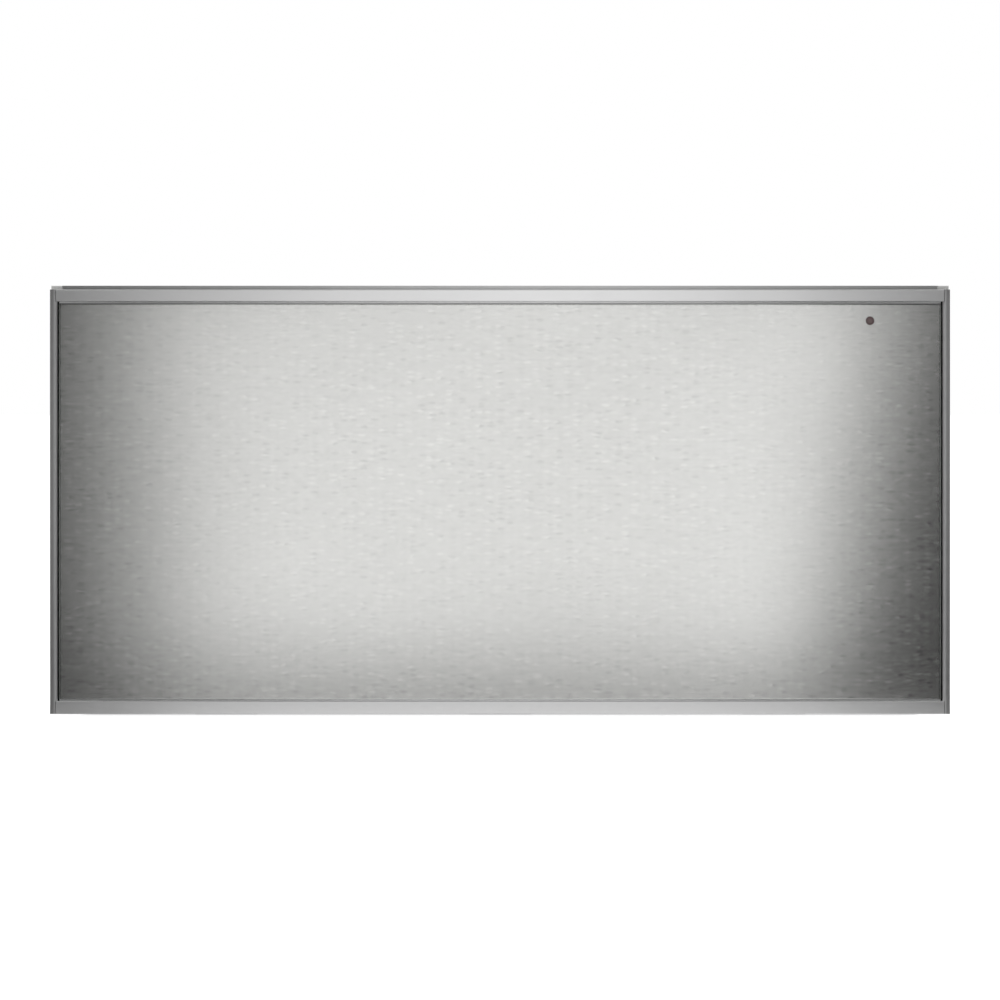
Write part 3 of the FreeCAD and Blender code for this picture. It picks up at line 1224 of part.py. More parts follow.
def reed_switch():
    """Reed switch on the casing's back sheet."""
    width, depth, height = REED_SIZE
    x0 = MAGNET_X - width / 2
    z0 = MAGNET_Z - height / 2
    return block(x0, x0 + width, CASING_BACK_Y - depth, CASING_BACK_Y, z0, z0 + height)


def lead_end():
    """Where the drawer's lead ends in its clamp: X, Y and Z."""
    x1 = TERMINAL_LEFT_X + TERMINAL_WIDTH
    y = (CASING_BACK_Y + DRAWER_REAR_Y) / 2 + PUSH_IN / 2
    z = EJECTOR_Z - EJECTOR_WIDTH / 2 - LEAD_CLAMP_BELOW_EJECTOR - LEAD_CLAMP[2]
    return x1 + 3 * LEAD_BEND, y, z


def drawer_lead():
    """Flexible lead from the terminal box to the clamp on the drawer's back."""
    x1, y, z1 = lead_end()
    x0 = TERMINAL_LEFT_X + TERMINAL_WIDTH
    z0 = TERMINAL_BOTTOM_Z + TERMINAL_HEIGHT / 2
    share = math.sqrt(0.5)
    bend_from = V(x1 - LEAD_BEND, y, z0)
    bend_to = V(x1, y, z0 + LEAD_BEND)
    bend_mid = V(x1 - LEAD_BEND + share * LEAD_BEND, y, z0 + LEAD_BEND - share * LEAD_BEND)
    edges = [
        Part.makeLine(V(x0, y, z0), bend_from),
        Part.Arc(bend_from, bend_mid, bend_to).toShape(),
        Part.makeLine(bend_to, V(x1, y, z1)),
    ]
    return sweep(edges, LEAD_RADIUS, V(x0, y, z0), X_AXIS)


# Fasteners

def headed_pin(x, y, z, axis, shank, head):
    """A fastener: its shank runs back along the axis from the face, its head stands out."""
    base = V(x, y, z)
    stem = Part.makeCylinder(RIVET_RADIUS, shank + head / 2, base - axis * shank, axis)
    cap = Part.makeCylinder(RIVET_HEAD_RADIUS, head, base, axis)
    cap_point = base + axis * head
    rim = [e for e in cap.Edges if e.Closed and (e.CenterOfMass - cap_point).Length < NEAR]
    return joined([cap.makeFillet(head * HEAD_ROUND, rim), stem])


def casing_fasteners():
    """Rivets of the outer rail members and screws of the back sheet."""
    solids = []
    for y in rail_fixing_ys():
        rivet = headed_pin(CASING_X, y, RAIL_Z, X_AXIS, SHEET + RAIL_WEB, RIVET_HEAD)
        solids += [rivet, mirrored(rivet)]
    for x, z in back_screw_places():
        screw = headed_pin(x, CASING_REAR_Y, z, Y_AXIS, 2 * SHEET, 2 * RIVET_HEAD)
        solids += [screw, mirrored(screw)]
    return group(solids)


def drawer_screws():
    """Screws of the inner rail members and of the front."""
    solids = []
    for y in rail_fixing_ys():
        screw = headed_pin(DRAWER_WALL_X, y, RAIL_Z, -X_AXIS, SHEET + RAIL_WEB, 2 * RIVET_HEAD)
        solids += [screw, mirrored(screw)]
    for z in front_screw_zs():
        y = FRONT_REAR_Y + SHEET
        screw = headed_pin(front_screw_x(), y, z, Y_AXIS, SHEET + 2 * TRAY_WALL, 2 * RIVET_HEAD)
        solids += [screw, mirrored(screw)]
    return group(solids)


def sided(name, shape):
    """The right-hand node and its mirror image on the left."""
    return {name + "_right": shape, name + "_left": mirrored(shape)}


def sub_parts():
    """Every node by name."""
    outer_reach = OUTER_BALL_U + BALL_RADIUS + CAGE_ARM
    inner_reach = INNER_BALL_U + BALL_RADIUS + CAGE_ARM / 2
    nodes = {
        "casing_base": casing_base(),
        "casing_top": casing_top(),
        "casing_back": casing_back(),
        "face_frame": face_frame(),
        "casing_fasteners": casing_fasteners(),
        "terminal_box": terminal_box(),
        "mains_gland": mains_gland(),
        "ejector_housing": ejector_housing(),
        "ejector_plunger": ejector_plunger(),
        "ejector_spring": ejector_spring(),
        "reed_switch": reed_switch(),
        "drawer_floor_pan": drawer_floor_pan(),
        "base_insulation": base_insulation(),
        "base_heater": base_heater(),
        "tub_liner": tub_liner(),
        "tub_front_wall": tub_front_wall(),
        "tub_back_wall": tub_back_wall(),
        "glass_base_plate": glass_base_plate(),
        "glass_pads": glass_pads(),
        "drawer_back_panel": drawer_back_panel(),
        "fan_grille": fan_grille(),
        "fan_wheel": fan_wheel(),
        "motor_bracket": motor_bracket(),
        "fan_motor": fan_motor(),
        "ring_heater": ring_heater(),
        "heat_limiter": heat_limiter(),
        "fan_compartment_cover": fan_compartment_cover(),
        "frame_top": frame_bar(TOP_BAR_Z, FRONT_TOP_Z),
        "frame_bottom": frame_bar(FRONT_BOTTOM_Z, BOTTOM_BAR_Z),
        "front_glass": front_glass(),
        "front_steel_panel": front_steel_panel(),
        "glass_seal": glass_seal(),
        "front_inner_panel": front_inner_panel(),
        "indicator_light_guide": indicator_light_guide(),
        "control_panel": control_panel(),
        "selector_knob": selector_knob(),
        "selector_switch": selector_switch(),
        "control_module": control_module(),
        "drawer_magnet": drawer_magnet(),
        "drawer_screws": drawer_screws(),
        "drawer_lead": drawer_lead(),
    }
    nodes.update(sided("casing_side", casing_side()))
    nodes.update(sided("stop_buffer", stop_buffers()))
    nodes.update(sided("rail_outer", rail_outer()))
    nodes.update(sided("rail_middle", rail_middle()))
    nodes.update(sided("rail_inner", rail_inner()))
    nodes.update(sided("ball_cage_outer", ball_cage(OUTER_CAGE_U, outer_reach, OUTER_BALL_U, OUTER_BALL_V)))
    nodes.update(sided("ball_cage_inner", ball_cage(INNER_CAGE_U, inner_reach, INNER_BALL_U, INNER_BALL_V)))
    nodes.update(sided("drawer_side", drawer_side()))
    nodes.update(sided("frame", frame_side()))
    return nodes


def main():
    """Writes one STEP file per node."""
    os.makedirs("parts", exist_ok=True)
    for name, shape in sub_parts().items():
        shape.exportStep("parts/" + name + ".step")
        print(name, len(shape.Solids), "solids", round(shape.Volume), "mm3", shape.isValid())


main()
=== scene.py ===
"""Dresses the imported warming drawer: finishes, fine pieces, studio and camera.

Metres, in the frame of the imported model: X to the right, Y to the back, Z up.
"""
import logging
import math
from dataclasses import dataclass, field
from enum import Enum
from functools import cache
from typing import Sequence, Union

import bmesh
import bpy
from mathutils import Matrix, Vector


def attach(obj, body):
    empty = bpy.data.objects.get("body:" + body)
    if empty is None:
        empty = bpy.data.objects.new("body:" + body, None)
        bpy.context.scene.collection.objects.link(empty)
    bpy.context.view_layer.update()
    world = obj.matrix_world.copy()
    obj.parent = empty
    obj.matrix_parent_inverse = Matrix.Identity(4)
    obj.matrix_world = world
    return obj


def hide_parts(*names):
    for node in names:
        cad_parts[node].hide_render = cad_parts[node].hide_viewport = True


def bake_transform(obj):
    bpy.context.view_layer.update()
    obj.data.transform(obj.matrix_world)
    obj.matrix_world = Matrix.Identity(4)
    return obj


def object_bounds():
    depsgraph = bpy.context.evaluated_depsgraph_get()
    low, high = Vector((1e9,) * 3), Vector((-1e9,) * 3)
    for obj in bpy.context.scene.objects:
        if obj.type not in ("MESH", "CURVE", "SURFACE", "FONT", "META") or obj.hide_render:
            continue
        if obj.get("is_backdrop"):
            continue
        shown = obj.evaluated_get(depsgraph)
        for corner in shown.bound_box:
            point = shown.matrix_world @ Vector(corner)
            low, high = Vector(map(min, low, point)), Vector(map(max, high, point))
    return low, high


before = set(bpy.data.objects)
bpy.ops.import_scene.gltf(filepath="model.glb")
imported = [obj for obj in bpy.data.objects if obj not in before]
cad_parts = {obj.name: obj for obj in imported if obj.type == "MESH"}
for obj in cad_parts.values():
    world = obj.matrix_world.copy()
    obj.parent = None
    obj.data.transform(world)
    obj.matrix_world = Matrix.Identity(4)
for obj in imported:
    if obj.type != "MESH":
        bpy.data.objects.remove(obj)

log = logging.getLogger("warming_drawer")

Colour = tuple[float, float, float]
Point = tuple[float, float, float]
Socket = bpy.types.NodeSocket
Value = Union[Socket, float, Sequence[float]]


class Grain(Enum):
    """Direction in which a metal sheet was brushed."""

    ACROSS = (1.0, 0.0, 0.0)
    DEEP = (0.0, 1.0, 0.0)
    UPRIGHT = (0.0, 0.0, 1.0)


class Bench:
    """A node tree under construction."""

    def __init__(self, tree: bpy.types.NodeTree) -> None:
        """Starts on an empty tree.

        Args:
            tree: the node tree of a material, a world or a group.
        """
        self.tree = tree
        tree.nodes.clear()

    def add(self, kind: str, inputs: dict[object, Value] | None = None, **settings: object) -> bpy.types.Node:
        """Adds a shader node.

        Args:
            kind: the node's type, without its ShaderNode prefix.
            inputs: a value or a socket for each input, by name or index.
            settings: the node's own properties.

        Returns:
            The new node.
        """
        node = self.tree.nodes.new("ShaderNode" + kind)
        for name, setting in settings.items():
            setattr(node, name, setting)
        self.feed(node, inputs or {})
        return node

    def feed(self, node: bpy.types.Node, inputs: dict[object, Value]) -> None:
        """Sets or links a node's inputs.

        Args:
            node: the node to feed.
            inputs: a value or a socket for each input, by name or index.
        """
        for key, value in inputs.items():
            if isinstance(value, Socket):
                self.tree.links.new(value, node.inputs[key])
            else:
                node.inputs[key].default_value = value

    def sum(self, operation: str, first: Value, second: Value = 0.0) -> Socket:
        """One step of arithmetic.

        Args:
            operation: the Math node's operation.
            first: the first value.
            second: the second value.

        Returns:
            The result's socket.
        """
        return self.add("Math", {0: first, 1: second}, operation=operation).outputs[0]

    def span(self, value: Value, low: float, high: float, start: float = 0.0, end: float = 1.0) -> Socket:
        """Maps a value from one range to another, clamped.

        Args:
            value: the value to map.
            low: what the start of the range becomes.
            high: what the end of the range becomes.
            start: start of the value's range.
            end: end of the value's range.

        Returns:
            The result's socket.
        """
        inputs = {"Value": value, "From Min": start, "From Max": end, "To Min": low, "To Max": high}
        return self.add("MapRange", inputs).outputs["Result"]

    def ramp(self, value: Value, points: Sequence[tuple[float, float]]) -> Socket:
        """A level that runs through given points.

        Args:
            value: the value to look up.
            points: places from low to high, with the level at each.

        Returns:
            The level's socket.
        """
        first, last = points[0][0], points[-1][0]
        peak = max(level for _, level in points)
        ramp = self.add("ValToRGB", {"Fac": self.span(value, 0.0, 1.0, first, last)})
        stops = ramp.color_ramp.elements
        while len(stops) < len(points):
            stops.new(0.5)
        for stop, (place, level) in zip(stops, points):
            stop.position = (place - first) / (last - first)
            stop.color = (level / peak, level / peak, level / peak, 1.0)
        return self.sum("MULTIPLY", ramp.outputs[0], peak)

    def mix(self, mask: Value, first: Value, second: Value) -> Socket:
        """Mixes two colours by a mask.

        Args:
            mask: share of the second colour.
            first: the first colour.
            second: the second colour.

        Returns:
            The mixed colour's socket.
        """
        node = self.add("Mix", {0: mask, 6: rgba(first), 7: rgba(second)}, data_type="RGBA")
        return node.outputs[2]

    def place(self, tree: bpy.types.NodeTree, inputs: dict[object, Value]) -> bpy.types.Node:
        """Places a node group.

        Args:
            tree: the group's tree.
            inputs: a value or a socket for each of its inputs.

        Returns:
            The group's node.
        """
        node = self.tree.nodes.new("ShaderNodeGroup")
        node.node_tree = tree
        self.feed(node, inputs)
        return node

    def noise(self, place: Value, scale: float, detail: float = 2.0) -> Socket:
        """Noise over a place.

        Args:
            place: the coordinates.
            scale: cells per metre.
            detail: octaves of finer noise.

        Returns:
            The noise's value.
        """
        return self.add("TexNoise", {"Vector": place, "Scale": scale, "Detail": detail}).outputs[0]


def rgba(colour: Value) -> Value:
    """A colour with its fourth component, where it is plain numbers."""
    return colour if isinstance(colour, Socket) or len(colour) == 4 else (*colour, 1.0)


def shade(colour: Colour, share: float) -> Colour:
    """A colour made lighter or darker by a share."""
    return tuple(min(1.0, part * share) for part in colour)


# Effects that several finishes share

FLECK_REACH = 0.55
FLECK_GAIN = 2.0
BLOTCH_CYCLES = (110.0, 190.0, 190.0)
BLOTCH_GAIN = 0.6


def effect(name: str, inputs: dict[str, Value], outputs: Sequence[str]) -> tuple[Bench, bpy.types.Node, bpy.types.Node]:
    """Starts a node group.

    Args:
        name: the group's name.
        inputs: default value of each input, by name.
        outputs: names of its value outputs.

    Returns:
        The group's bench, its input node and its output node.
    """
    tree = bpy.data.node_groups.new(name, "ShaderNodeTree")
    bench = Bench(tree)
    for label, value in inputs.items():
        kind = "NodeSocketFloat" if isinstance(value, float) else "NodeSocketVector"
        tree.interface.new_socket(name=label, in_out="INPUT", socket_type=kind).default_value = value
    for label in outputs:
        tree.interface.new_socket(name=label, in_out="OUTPUT", socket_type="NodeSocketFloat")
    return bench, tree.nodes.new("NodeGroupInput"), tree.nodes.new("NodeGroupOutput")


@cache
def brush_lines() -> bpy.types.NodeTree:
    """Brushed metal: sparse short flecks on faint blotches, long fine lines and their height.

    Returns:
        The node group.
    """
    bench, given, out = effect("brush_lines", {"Place": (0.0, 0.0, 0.0), "Fleck": (1.0, 1.0, 1.0),
                                               "Line": (1.0, 1.0, 1.0)}, ["Flecks", "Lines", "Height"])
    flecks = bench.add("VectorMath", {0: given.outputs["Place"], 1: given.outputs["Fleck"]}, operation="MULTIPLY")
    lines = bench.add("VectorMath", {0: given.outputs["Place"], 1: given.outputs["Line"]}, operation="MULTIPLY")
    marks = bench.add("TexVoronoi", {"Vector": flecks.outputs[0], "Scale": 1.0, "Randomness": 0.9})
    near = bench.span(marks.outputs["Distance"], 1.0, 0.0, 0.0, FLECK_REACH)
    sign = bench.sum("SUBTRACT", bench.add("SeparateColor", {0: marks.outputs["Color"]}).outputs[0], 0.5)
    marked = bench.sum("MULTIPLY", bench.sum("MULTIPLY", near, sign), FLECK_GAIN)
    cloud = bench.noise(bench.add("VectorMath", {0: given.outputs["Place"], 1: BLOTCH_CYCLES},
                                  operation="MULTIPLY").outputs[0], 1.0, 2.0)
    blotch = bench.sum("MULTIPLY", bench.sum("SUBTRACT", cloud, 0.5), BLOTCH_GAIN)
    fleck = bench.sum("ADD", 0.5, bench.sum("ADD", marked, blotch))
    fine = bench.span(bench.noise(lines.outputs[0], 1.0, 2.0), 0.0, 1.0, 0.3, 0.7)
    height = bench.sum("ADD", bench.sum("MULTIPLY", fleck, 0.35), bench.sum("MULTIPLY", fine, 0.65))
    bench.feed(out, {"Flecks": fleck, "Lines": fine, "Height": height})
    return bench.tree


@cache
def handling() -> bpy.types.NodeTree:
    """Traces of use: soft smears and sparse hair scratches.

    Returns:
        The node group.
    """
    bench, given, out = effect("handling", {"Place": (0.0, 0.0, 0.0), "Size": 0.08}, ["Smear", "Scratch"])
    scale = bench.sum("DIVIDE", 1.0, given.outputs["Size"])
    cloud = bench.add("TexNoise", {"Vector": given.outputs["Place"], "Scale": scale, "Detail": 2.0,
                                   "Roughness": 0.4})
    smear = bench.span(cloud.outputs[0], 0.0, 1.0, 0.3, 0.75)
    turned = bench.add("Mapping", {"Vector": given.outputs["Place"], "Rotation": (0.3, 0.5, 0.7),
                                   "Scale": (12.0, 700.0, 700.0)})
    hair = bench.noise(turned.outputs[0], 1.0, 0.0)
    bench.feed(out, {"Smear": smear, "Scratch": bench.span(hair, 0.0, 1.0, 0.78, 0.84)})
    return bench.tree


@cache
def zinc_flowers() -> bpy.types.NodeTree:
    """Crystals of a hot-dip zinc coat: a tone for each crystal and its frosted feathers.

    Returns:
        The node group.
    """
    bench, given, out = effect("zinc_flowers", {"Place": (0.0, 0.0, 0.0), "Size": 0.009}, ["Crystal", "Feather"])
    scale = bench.sum("DIVIDE", 1.0, given.outputs["Size"])
    bend = bench.add("TexNoise", {"Vector": given.outputs["Place"], "Scale": 160.0, "Detail": 2.0})
    shifted = bench.add("VectorMath", {0: bend.outputs["Color"], 1: (0.004, 0.004, 0.004),
                                       2: given.outputs["Place"]}, operation="MULTIPLY_ADD")
    cells = bench.add("TexVoronoi", {"Vector": shifted.outputs[0], "Scale": scale})
    tone = bench.add("SeparateColor", {0: cells.outputs["Color"]})
    ridge = bench.add("TexWave", {"Vector": cells.outputs["Color"], "Scale": 3.0, "Distortion": 6.0, "Detail": 3.0})
    feather = bench.sum("MULTIPLY", ridge.outputs["Fac"], bench.noise(shifted.outputs[0], 700.0, 3.0))
    bench.feed(out, {"Crystal": tone.outputs[0], "Feather": feather})
    return bench.tree


@cache
def mould_grain() -> bpy.types.NodeTree:
    """Skin of a moulded or powder-coated surface.

    Returns:
        The node group.
    """
    bench, given, out = effect("mould_grain", {"Place": (0.0, 0.0, 0.0), "Size": 0.0004}, ["Height", "Speck"])
    scale = bench.sum("DIVIDE", 1.0, given.outputs["Size"])
    cells = bench.add("TexVoronoi", {"Vector": given.outputs["Place"], "Scale": scale}, feature="SMOOTH_F1")
    cloud = bench.add("TexNoise", {"Vector": given.outputs["Place"], "Scale": scale, "Detail": 3.0})
    height = bench.sum("ADD", cells.outputs["Distance"], bench.sum("MULTIPLY", cloud.outputs[0], 0.5))
    speck = bench.span(bench.noise(given.outputs["Place"], 420.0, 5.0), 0.0, 1.0, 0.55, 0.75)
    bench.feed(out, {"Height": height, "Speck": speck})
    return bench.tree


@cache
def settled_dust() -> bpy.types.NodeTree:
    """Dust that settles on what faces up.

    Returns:
        The node group.
    """
    bench, given, out = effect("settled_dust", {"Place": (0.0, 0.0, 0.0), "Amount": 0.2}, ["Dust"])
    normal = bench.add("SeparateXYZ", {0: bench.add("NewGeometry").outputs["Normal"]})
    up = bench.span(normal.outputs["Z"], 0.0, 1.0, 0.5, 1.0)
    cloud = bench.span(bench.noise(given.outputs["Place"], 24.0, 6.0), 0.2, 1.0, 0.4, 0.7)
    bench.feed(out, {"Dust": bench.sum("MULTIPLY", bench.sum("MULTIPLY", up, cloud), given.outputs["Amount"])})
    return bench.tree


# Finishes

@dataclass(frozen=True)
class Finish:
    """A surface finish: one Principled shader fed by its own nodes."""

    name: str

    def dress(self, bench: Bench, place: Socket, shader: bpy.types.Node) -> None:
        """Feeds the shader.

        Args:
            bench: the material's node tree.
            place: object coordinates, in metres.
            shader: the Principled shader.
        """
        raise NotImplementedError

    @cache
    def material(self) -> bpy.types.Material:
        """The finish's material, made once.

        Returns:
            The material.
        """
        made = bpy.data.materials.new(self.name + "_finish")
        made.use_nodes = True
        bench = Bench(made.node_tree)
        place = bench.add("TexCoord").outputs["Object"]
        shader = bench.add("BsdfPrincipled")
        bench.add("OutputMaterial", {"Surface": shader.outputs[0]})
        self.dress(bench, place, shader)
        return made

    @staticmethod
    def bump(bench: Bench, height: Socket, depth: float, strength: float = 1.0) -> Socket:
        """A bump from a height.

        Args:
            bench: the material's node tree.
            height: height from 0 to 1.
            depth: what 1 stands for, in metres.
            strength: how much of it shows.

        Returns:
            The normal's socket.
        """
        return bench.add("Bump", {"Height": height, "Distance": depth, "Strength": strength}).outputs[0]


@dataclass(frozen=True)
class BrushedSteel(Finish):
    """Stainless steel brushed in one direction, with faint smears from hands."""

    tone: Colour = (0.738, 0.737, 0.721)
    roughness: float = 0.22
    anisotropy: float = 0.3
    grain: Grain = Grain.ACROSS
    contrast: float = 0.11
    smear: float = 0.02
    fleck_length: float = 0.0064
    fleck_width: float = 0.0024
    line_length: float = 0.09
    line_width: float = 0.00032
    depth: float = 0.0000007

    def cycles(self, length: float, width: float) -> Point:
        """Noise cells per metre along each axis.

        Args:
            length: a cell's length along the grain.
            width: its width across the grain.

        Returns:
            Cells per metre in X, Y and Z.
        """
        return tuple(1.0 / length if along else 1.0 / width for along in self.grain.value)

    def dress(self, bench: Bench, place: Socket, shader: bpy.types.Node) -> None:
        """Flecks and lines in tone, roughness and height."""
        brushed = bench.place(brush_lines(), {"Place": place, "Fleck": self.cycles(self.fleck_length, self.fleck_width),
                                              "Line": self.cycles(self.line_length, self.line_width)})
        used = bench.place(handling(), {"Place": place, "Size": 0.07})
        both = bench.sum("ADD", bench.sum("MULTIPLY", brushed.outputs["Flecks"], 0.85),
                         bench.sum("MULTIPLY", brushed.outputs["Lines"], 0.15))
        tone = bench.mix(both, shade(self.tone, 1 - self.contrast), shade(self.tone, 1 + self.contrast))
        tone = bench.mix(bench.sum("MULTIPLY", used.outputs["Scratch"], 0.12), tone, shade(self.tone, 1.25))
        rough = bench.span(both, self.roughness - 0.03, self.roughness + 0.03)
        rough = bench.sum("ADD", rough, bench.sum("MULTIPLY", used.outputs["Smear"], self.smear))
        bench.feed(shader, {"Base Color": tone, "Metallic": 1.0, "Roughness": rough,
                            "Anisotropic": self.anisotropy,
                            "Anisotropic Rotation": 0.25 if self.grain is Grain.ACROSS else 0.0,
                            "Normal": self.bump(bench, brushed.outputs["Height"], self.depth)})


@dataclass(frozen=True)
class LippedSteel(BrushedSteel):
    """Frame bar steel with painted light across the bar: a painted highlight on its inner lip and painted shade at its
    outer edge, standing in for the reflections of a rounded bar.
    """

    axis: str = "X"
    middle: float = 0.0
    # Tone factor at each distance from the middle: painted highlight above 1, painted shade below 1.
    profile: Sequence[tuple[float, float]] = ((0.2900, 1.65), (0.2922, 1.65), (0.2930, 1.0), (0.2944, 1.0),
                                              (0.2946, 0.55), (0.2950, 0.55))

    def dress(self, bench: Bench, place: Socket, shader: bpy.types.Node) -> None:
        """Brushed steel with painted highlight and painted shade scaled into its tone across the bar."""
        super().dress(bench, place, shader)
        part = bench.add("SeparateXYZ", {0: place})
        off = bench.sum("ABSOLUTE", bench.sum("SUBTRACT", part.outputs[self.axis], self.middle))
        tone = shader.inputs["Base Color"].links[0].from_socket
        # Painted light: the tone is scaled by place across the bar.
        painted_light_tone = bench.add("VectorMath", {0: tone, 1: bench.ramp(off, self.profile)}, operation="MULTIPLY")
        bench.feed(shader, {"Base Color": painted_light_tone.outputs[0]})


@dataclass(frozen=True)
class ZincSheet(Finish):
    """Hot-dip galvanised sheet with frosted crystals, dulled by dust on top."""

    tone: Colour = (0.43, 0.44, 0.45)
    crystal: float = 0.0055
    roughness: float = 0.42
    dust: float = 0.12

    def dress(self, bench: Bench, place: Socket, shader: bpy.types.Node) -> None:
        """Crystals in tone and roughness, dust on what faces up."""
        zinc = bench.place(zinc_flowers(), {"Place": place, "Size": self.crystal})
        used = bench.place(handling(), {"Place": place, "Size": 0.12})
        dust = bench.place(settled_dust(), {"Place": place, "Amount": self.dust}).outputs["Dust"]
        tone = bench.mix(zinc.outputs["Crystal"], shade(self.tone, 0.86), shade(self.tone, 1.1))
        tone = bench.mix(bench.span(zinc.outputs["Feather"], 0.0, 0.4), tone, shade(self.tone, 1.15))
        tone = bench.mix(dust, tone, (0.45, 0.44, 0.43))
        rough = bench.span(zinc.outputs["Crystal"], self.roughness - 0.05, self.roughness + 0.05)
        rough = bench.sum("ADD", rough, bench.sum("MULTIPLY", used.outputs["Smear"], 0.08))
        rough = bench.sum("ADD", rough, bench.sum("MULTIPLY", dust, 0.5))
        metal = bench.span(dust, 1.0, 0.3)
        height = bench.sum("ADD", zinc.outputs["Feather"], bench.sum("MULTIPLY", used.outputs["Scratch"], -0.5))
        bench.feed(shader, {"Base Color": tone, "Metallic": metal, "Roughness": rough,
                            "Normal": self.bump(bench, height, 0.00002)})


@dataclass(frozen=True)
class PlatedSteel(Finish):
    """Bright zinc-plated or drawn steel, with a film of grease in places."""

    tone: Colour = (0.66, 0.68, 0.70)
    film: Colour = (0.50, 0.48, 0.38)
    roughness: float = 0.3
    greased: float = 0.3

    def dress(self, bench: Bench, place: Socket, shader: bpy.types.Node) -> None:
        """Drawing lines along the piece and a film of grease."""
        drawn = bench.place(brush_lines(), {"Place": place, "Fleck": (350.0, 40.0, 350.0),
                                            "Line": (2600.0, 8.0, 2600.0)})
        used = bench.place(handling(), {"Place": place, "Size": 0.03})
        tone = bench.mix(drawn.outputs["Lines"], shade(self.tone, 0.96), shade(self.tone, 1.04))
        grease = bench.sum("MULTIPLY", used.outputs["Smear"], self.greased)
        tone = bench.mix(grease, tone, self.film)
        rough = bench.span(drawn.outputs["Flecks"], self.roughness - 0.02, self.roughness + 0.05)
        rough = bench.sum("SUBTRACT", rough, bench.sum("MULTIPLY", grease, 0.1))
        bench.feed(shader, {"Base Color": tone, "Metallic": 1.0, "Roughness": rough,
                            "Normal": self.bump(bench, drawn.outputs["Height"], 0.000001)})


@dataclass(frozen=True)
class Moulded(Finish):
    """Moulded plastic, powder coat or ceramic, with a fine skin."""

    tone: Colour = (0.03, 0.03, 0.032)
    speck: Colour = (0.06, 0.06, 0.062)
    roughness: float = 0.45
    grain: float = 0.0004
    depth: float = 0.00003
    dust: float = 0.06
    gloss: float = 0.5

    def dress(self, bench: Bench, place: Socket, shader: bpy.types.Node) -> None:
        """Skin in height and roughness, specks and dust in tone."""
        skin = bench.place(mould_grain(), {"Place": place, "Size": self.grain})
        used = bench.place(handling(), {"Place": place, "Size": 0.02})
        dust = bench.place(settled_dust(), {"Place": place, "Amount": self.dust}).outputs["Dust"]
        tone = bench.mix(bench.sum("MULTIPLY", skin.outputs["Speck"], 0.6), self.tone, self.speck)
        tone = bench.mix(dust, tone, (0.5, 0.49, 0.47))
        rough = bench.span(used.outputs["Smear"], self.roughness - 0.06, self.roughness + 0.08)
        rough = bench.sum("ADD", rough, dust)
        bench.feed(shader, {"Base Color": tone, "Roughness": rough, "Specular IOR Level": self.gloss,
                            "Normal": self.bump(bench, skin.outputs["Height"], self.depth)})


@dataclass(frozen=True)
class PaneGlass(Finish):
    """Clear float glass, dark and rough at its two side edges."""

    half_width: float = 0.28905
    edge: float = 0.0010

    def dress(self, bench: Bench, place: Socket, shader: bpy.types.Node) -> None:
        """A dark, rough edge at both sides of the clear field."""
        part = bench.add("SeparateXYZ", {0: place})
        rim = bench.span(bench.sum("ABSOLUTE", part.outputs["X"]), 0.0, 1.0, self.half_width - self.edge,
                         self.half_width - self.edge * 0.6)
        grind = bench.sum("MULTIPLY", rim, bench.span(bench.noise(place, 3000.0), 0.2, 0.5))
        bench.feed(shader, {"Base Color": bench.mix(rim, (0.998, 1.0, 0.998), (0.075, 0.085, 0.078)),
                            "Metallic": 0.0, "Roughness": grind, "IOR": 1.5, "Transmission Weight": 1.0})


@dataclass(frozen=True)
class ToughenedGlass(Finish):
    """Dark toughened glass with a fine dot print near its rim."""

    half_width: float = 0.2273
    front: float = -0.213
    rear: float = 0.184
    margin: float = 0.014
    pitch: float = 0.0022

    def dress(self, bench: Bench, place: Socket, shader: bpy.types.Node) -> None:
        """A dot print that fades inwards from the rim, smears in the gloss."""
        part = bench.add("SeparateXYZ", {0: place})
        middle = (self.front + self.rear) / 2
        reach = (self.rear - self.front) / 2
        side = bench.sum("SUBTRACT", self.half_width, bench.sum("ABSOLUTE", part.outputs["X"]))
        end = bench.sum("SUBTRACT", reach, bench.sum("ABSOLUTE", bench.sum("SUBTRACT", part.outputs["Y"], middle)))
        inset = bench.sum("MINIMUM", side, end)
        flat = bench.add("CombineXYZ", {0: part.outputs["X"], 1: part.outputs["Y"]})
        dots = bench.add("TexVoronoi", {"Vector": flat.outputs[0], "Scale": 1 / self.pitch, "Randomness": 0.0})
        size = bench.span(inset, 0.46, 0.0, 0.0, self.margin)
        printed = bench.sum("LESS_THAN", dots.outputs["Distance"], size)
        used = bench.place(handling(), {"Place": place, "Size": 0.05})
        tone = bench.mix(printed, (0.014, 0.016, 0.018), (0.085, 0.085, 0.088))
        rough = bench.sum("ADD", bench.span(used.outputs["Smear"], 0.05, 0.16), bench.sum("MULTIPLY", printed, 0.2))
        bench.feed(shader, {"Base Color": tone, "Roughness": rough, "IOR": 1.52, "Coat Weight": 0.3,
                            "Coat Roughness": 0.03})


@dataclass(frozen=True)
class LampLens(Finish):
    """Unlit red lens with a painted highlight as a paler core."""

    centre: Point = (0.2426, -0.2625, 0.2588)
    core: float = 0.0011
    radius: float = 0.0028

    def dress(self, bench: Bench, place: Socket, shader: bpy.types.Node) -> None:
        """A painted highlight as a pale core in a dark red ring."""
        off = bench.add("VectorMath", {0: place, 1: self.centre}, operation="DISTANCE").outputs["Value"]
        # Painted highlight: a paler core at the lens's middle.
        core = bench.span(off, 1.0, 0.0, self.core * 0.5, self.radius * 0.75)
        ring = bench.span(bench.noise(place, 2600.0), 0.85, 1.15, 0.3, 0.7)
        tone = bench.mix(core, (0.160, 0.052, 0.050), (0.280, 0.125, 0.120))
        rough = bench.sum("MULTIPLY", ring, 0.3)
        bench.feed(shader, {"Base Color": tone, "Roughness": rough, "IOR": 1.3})


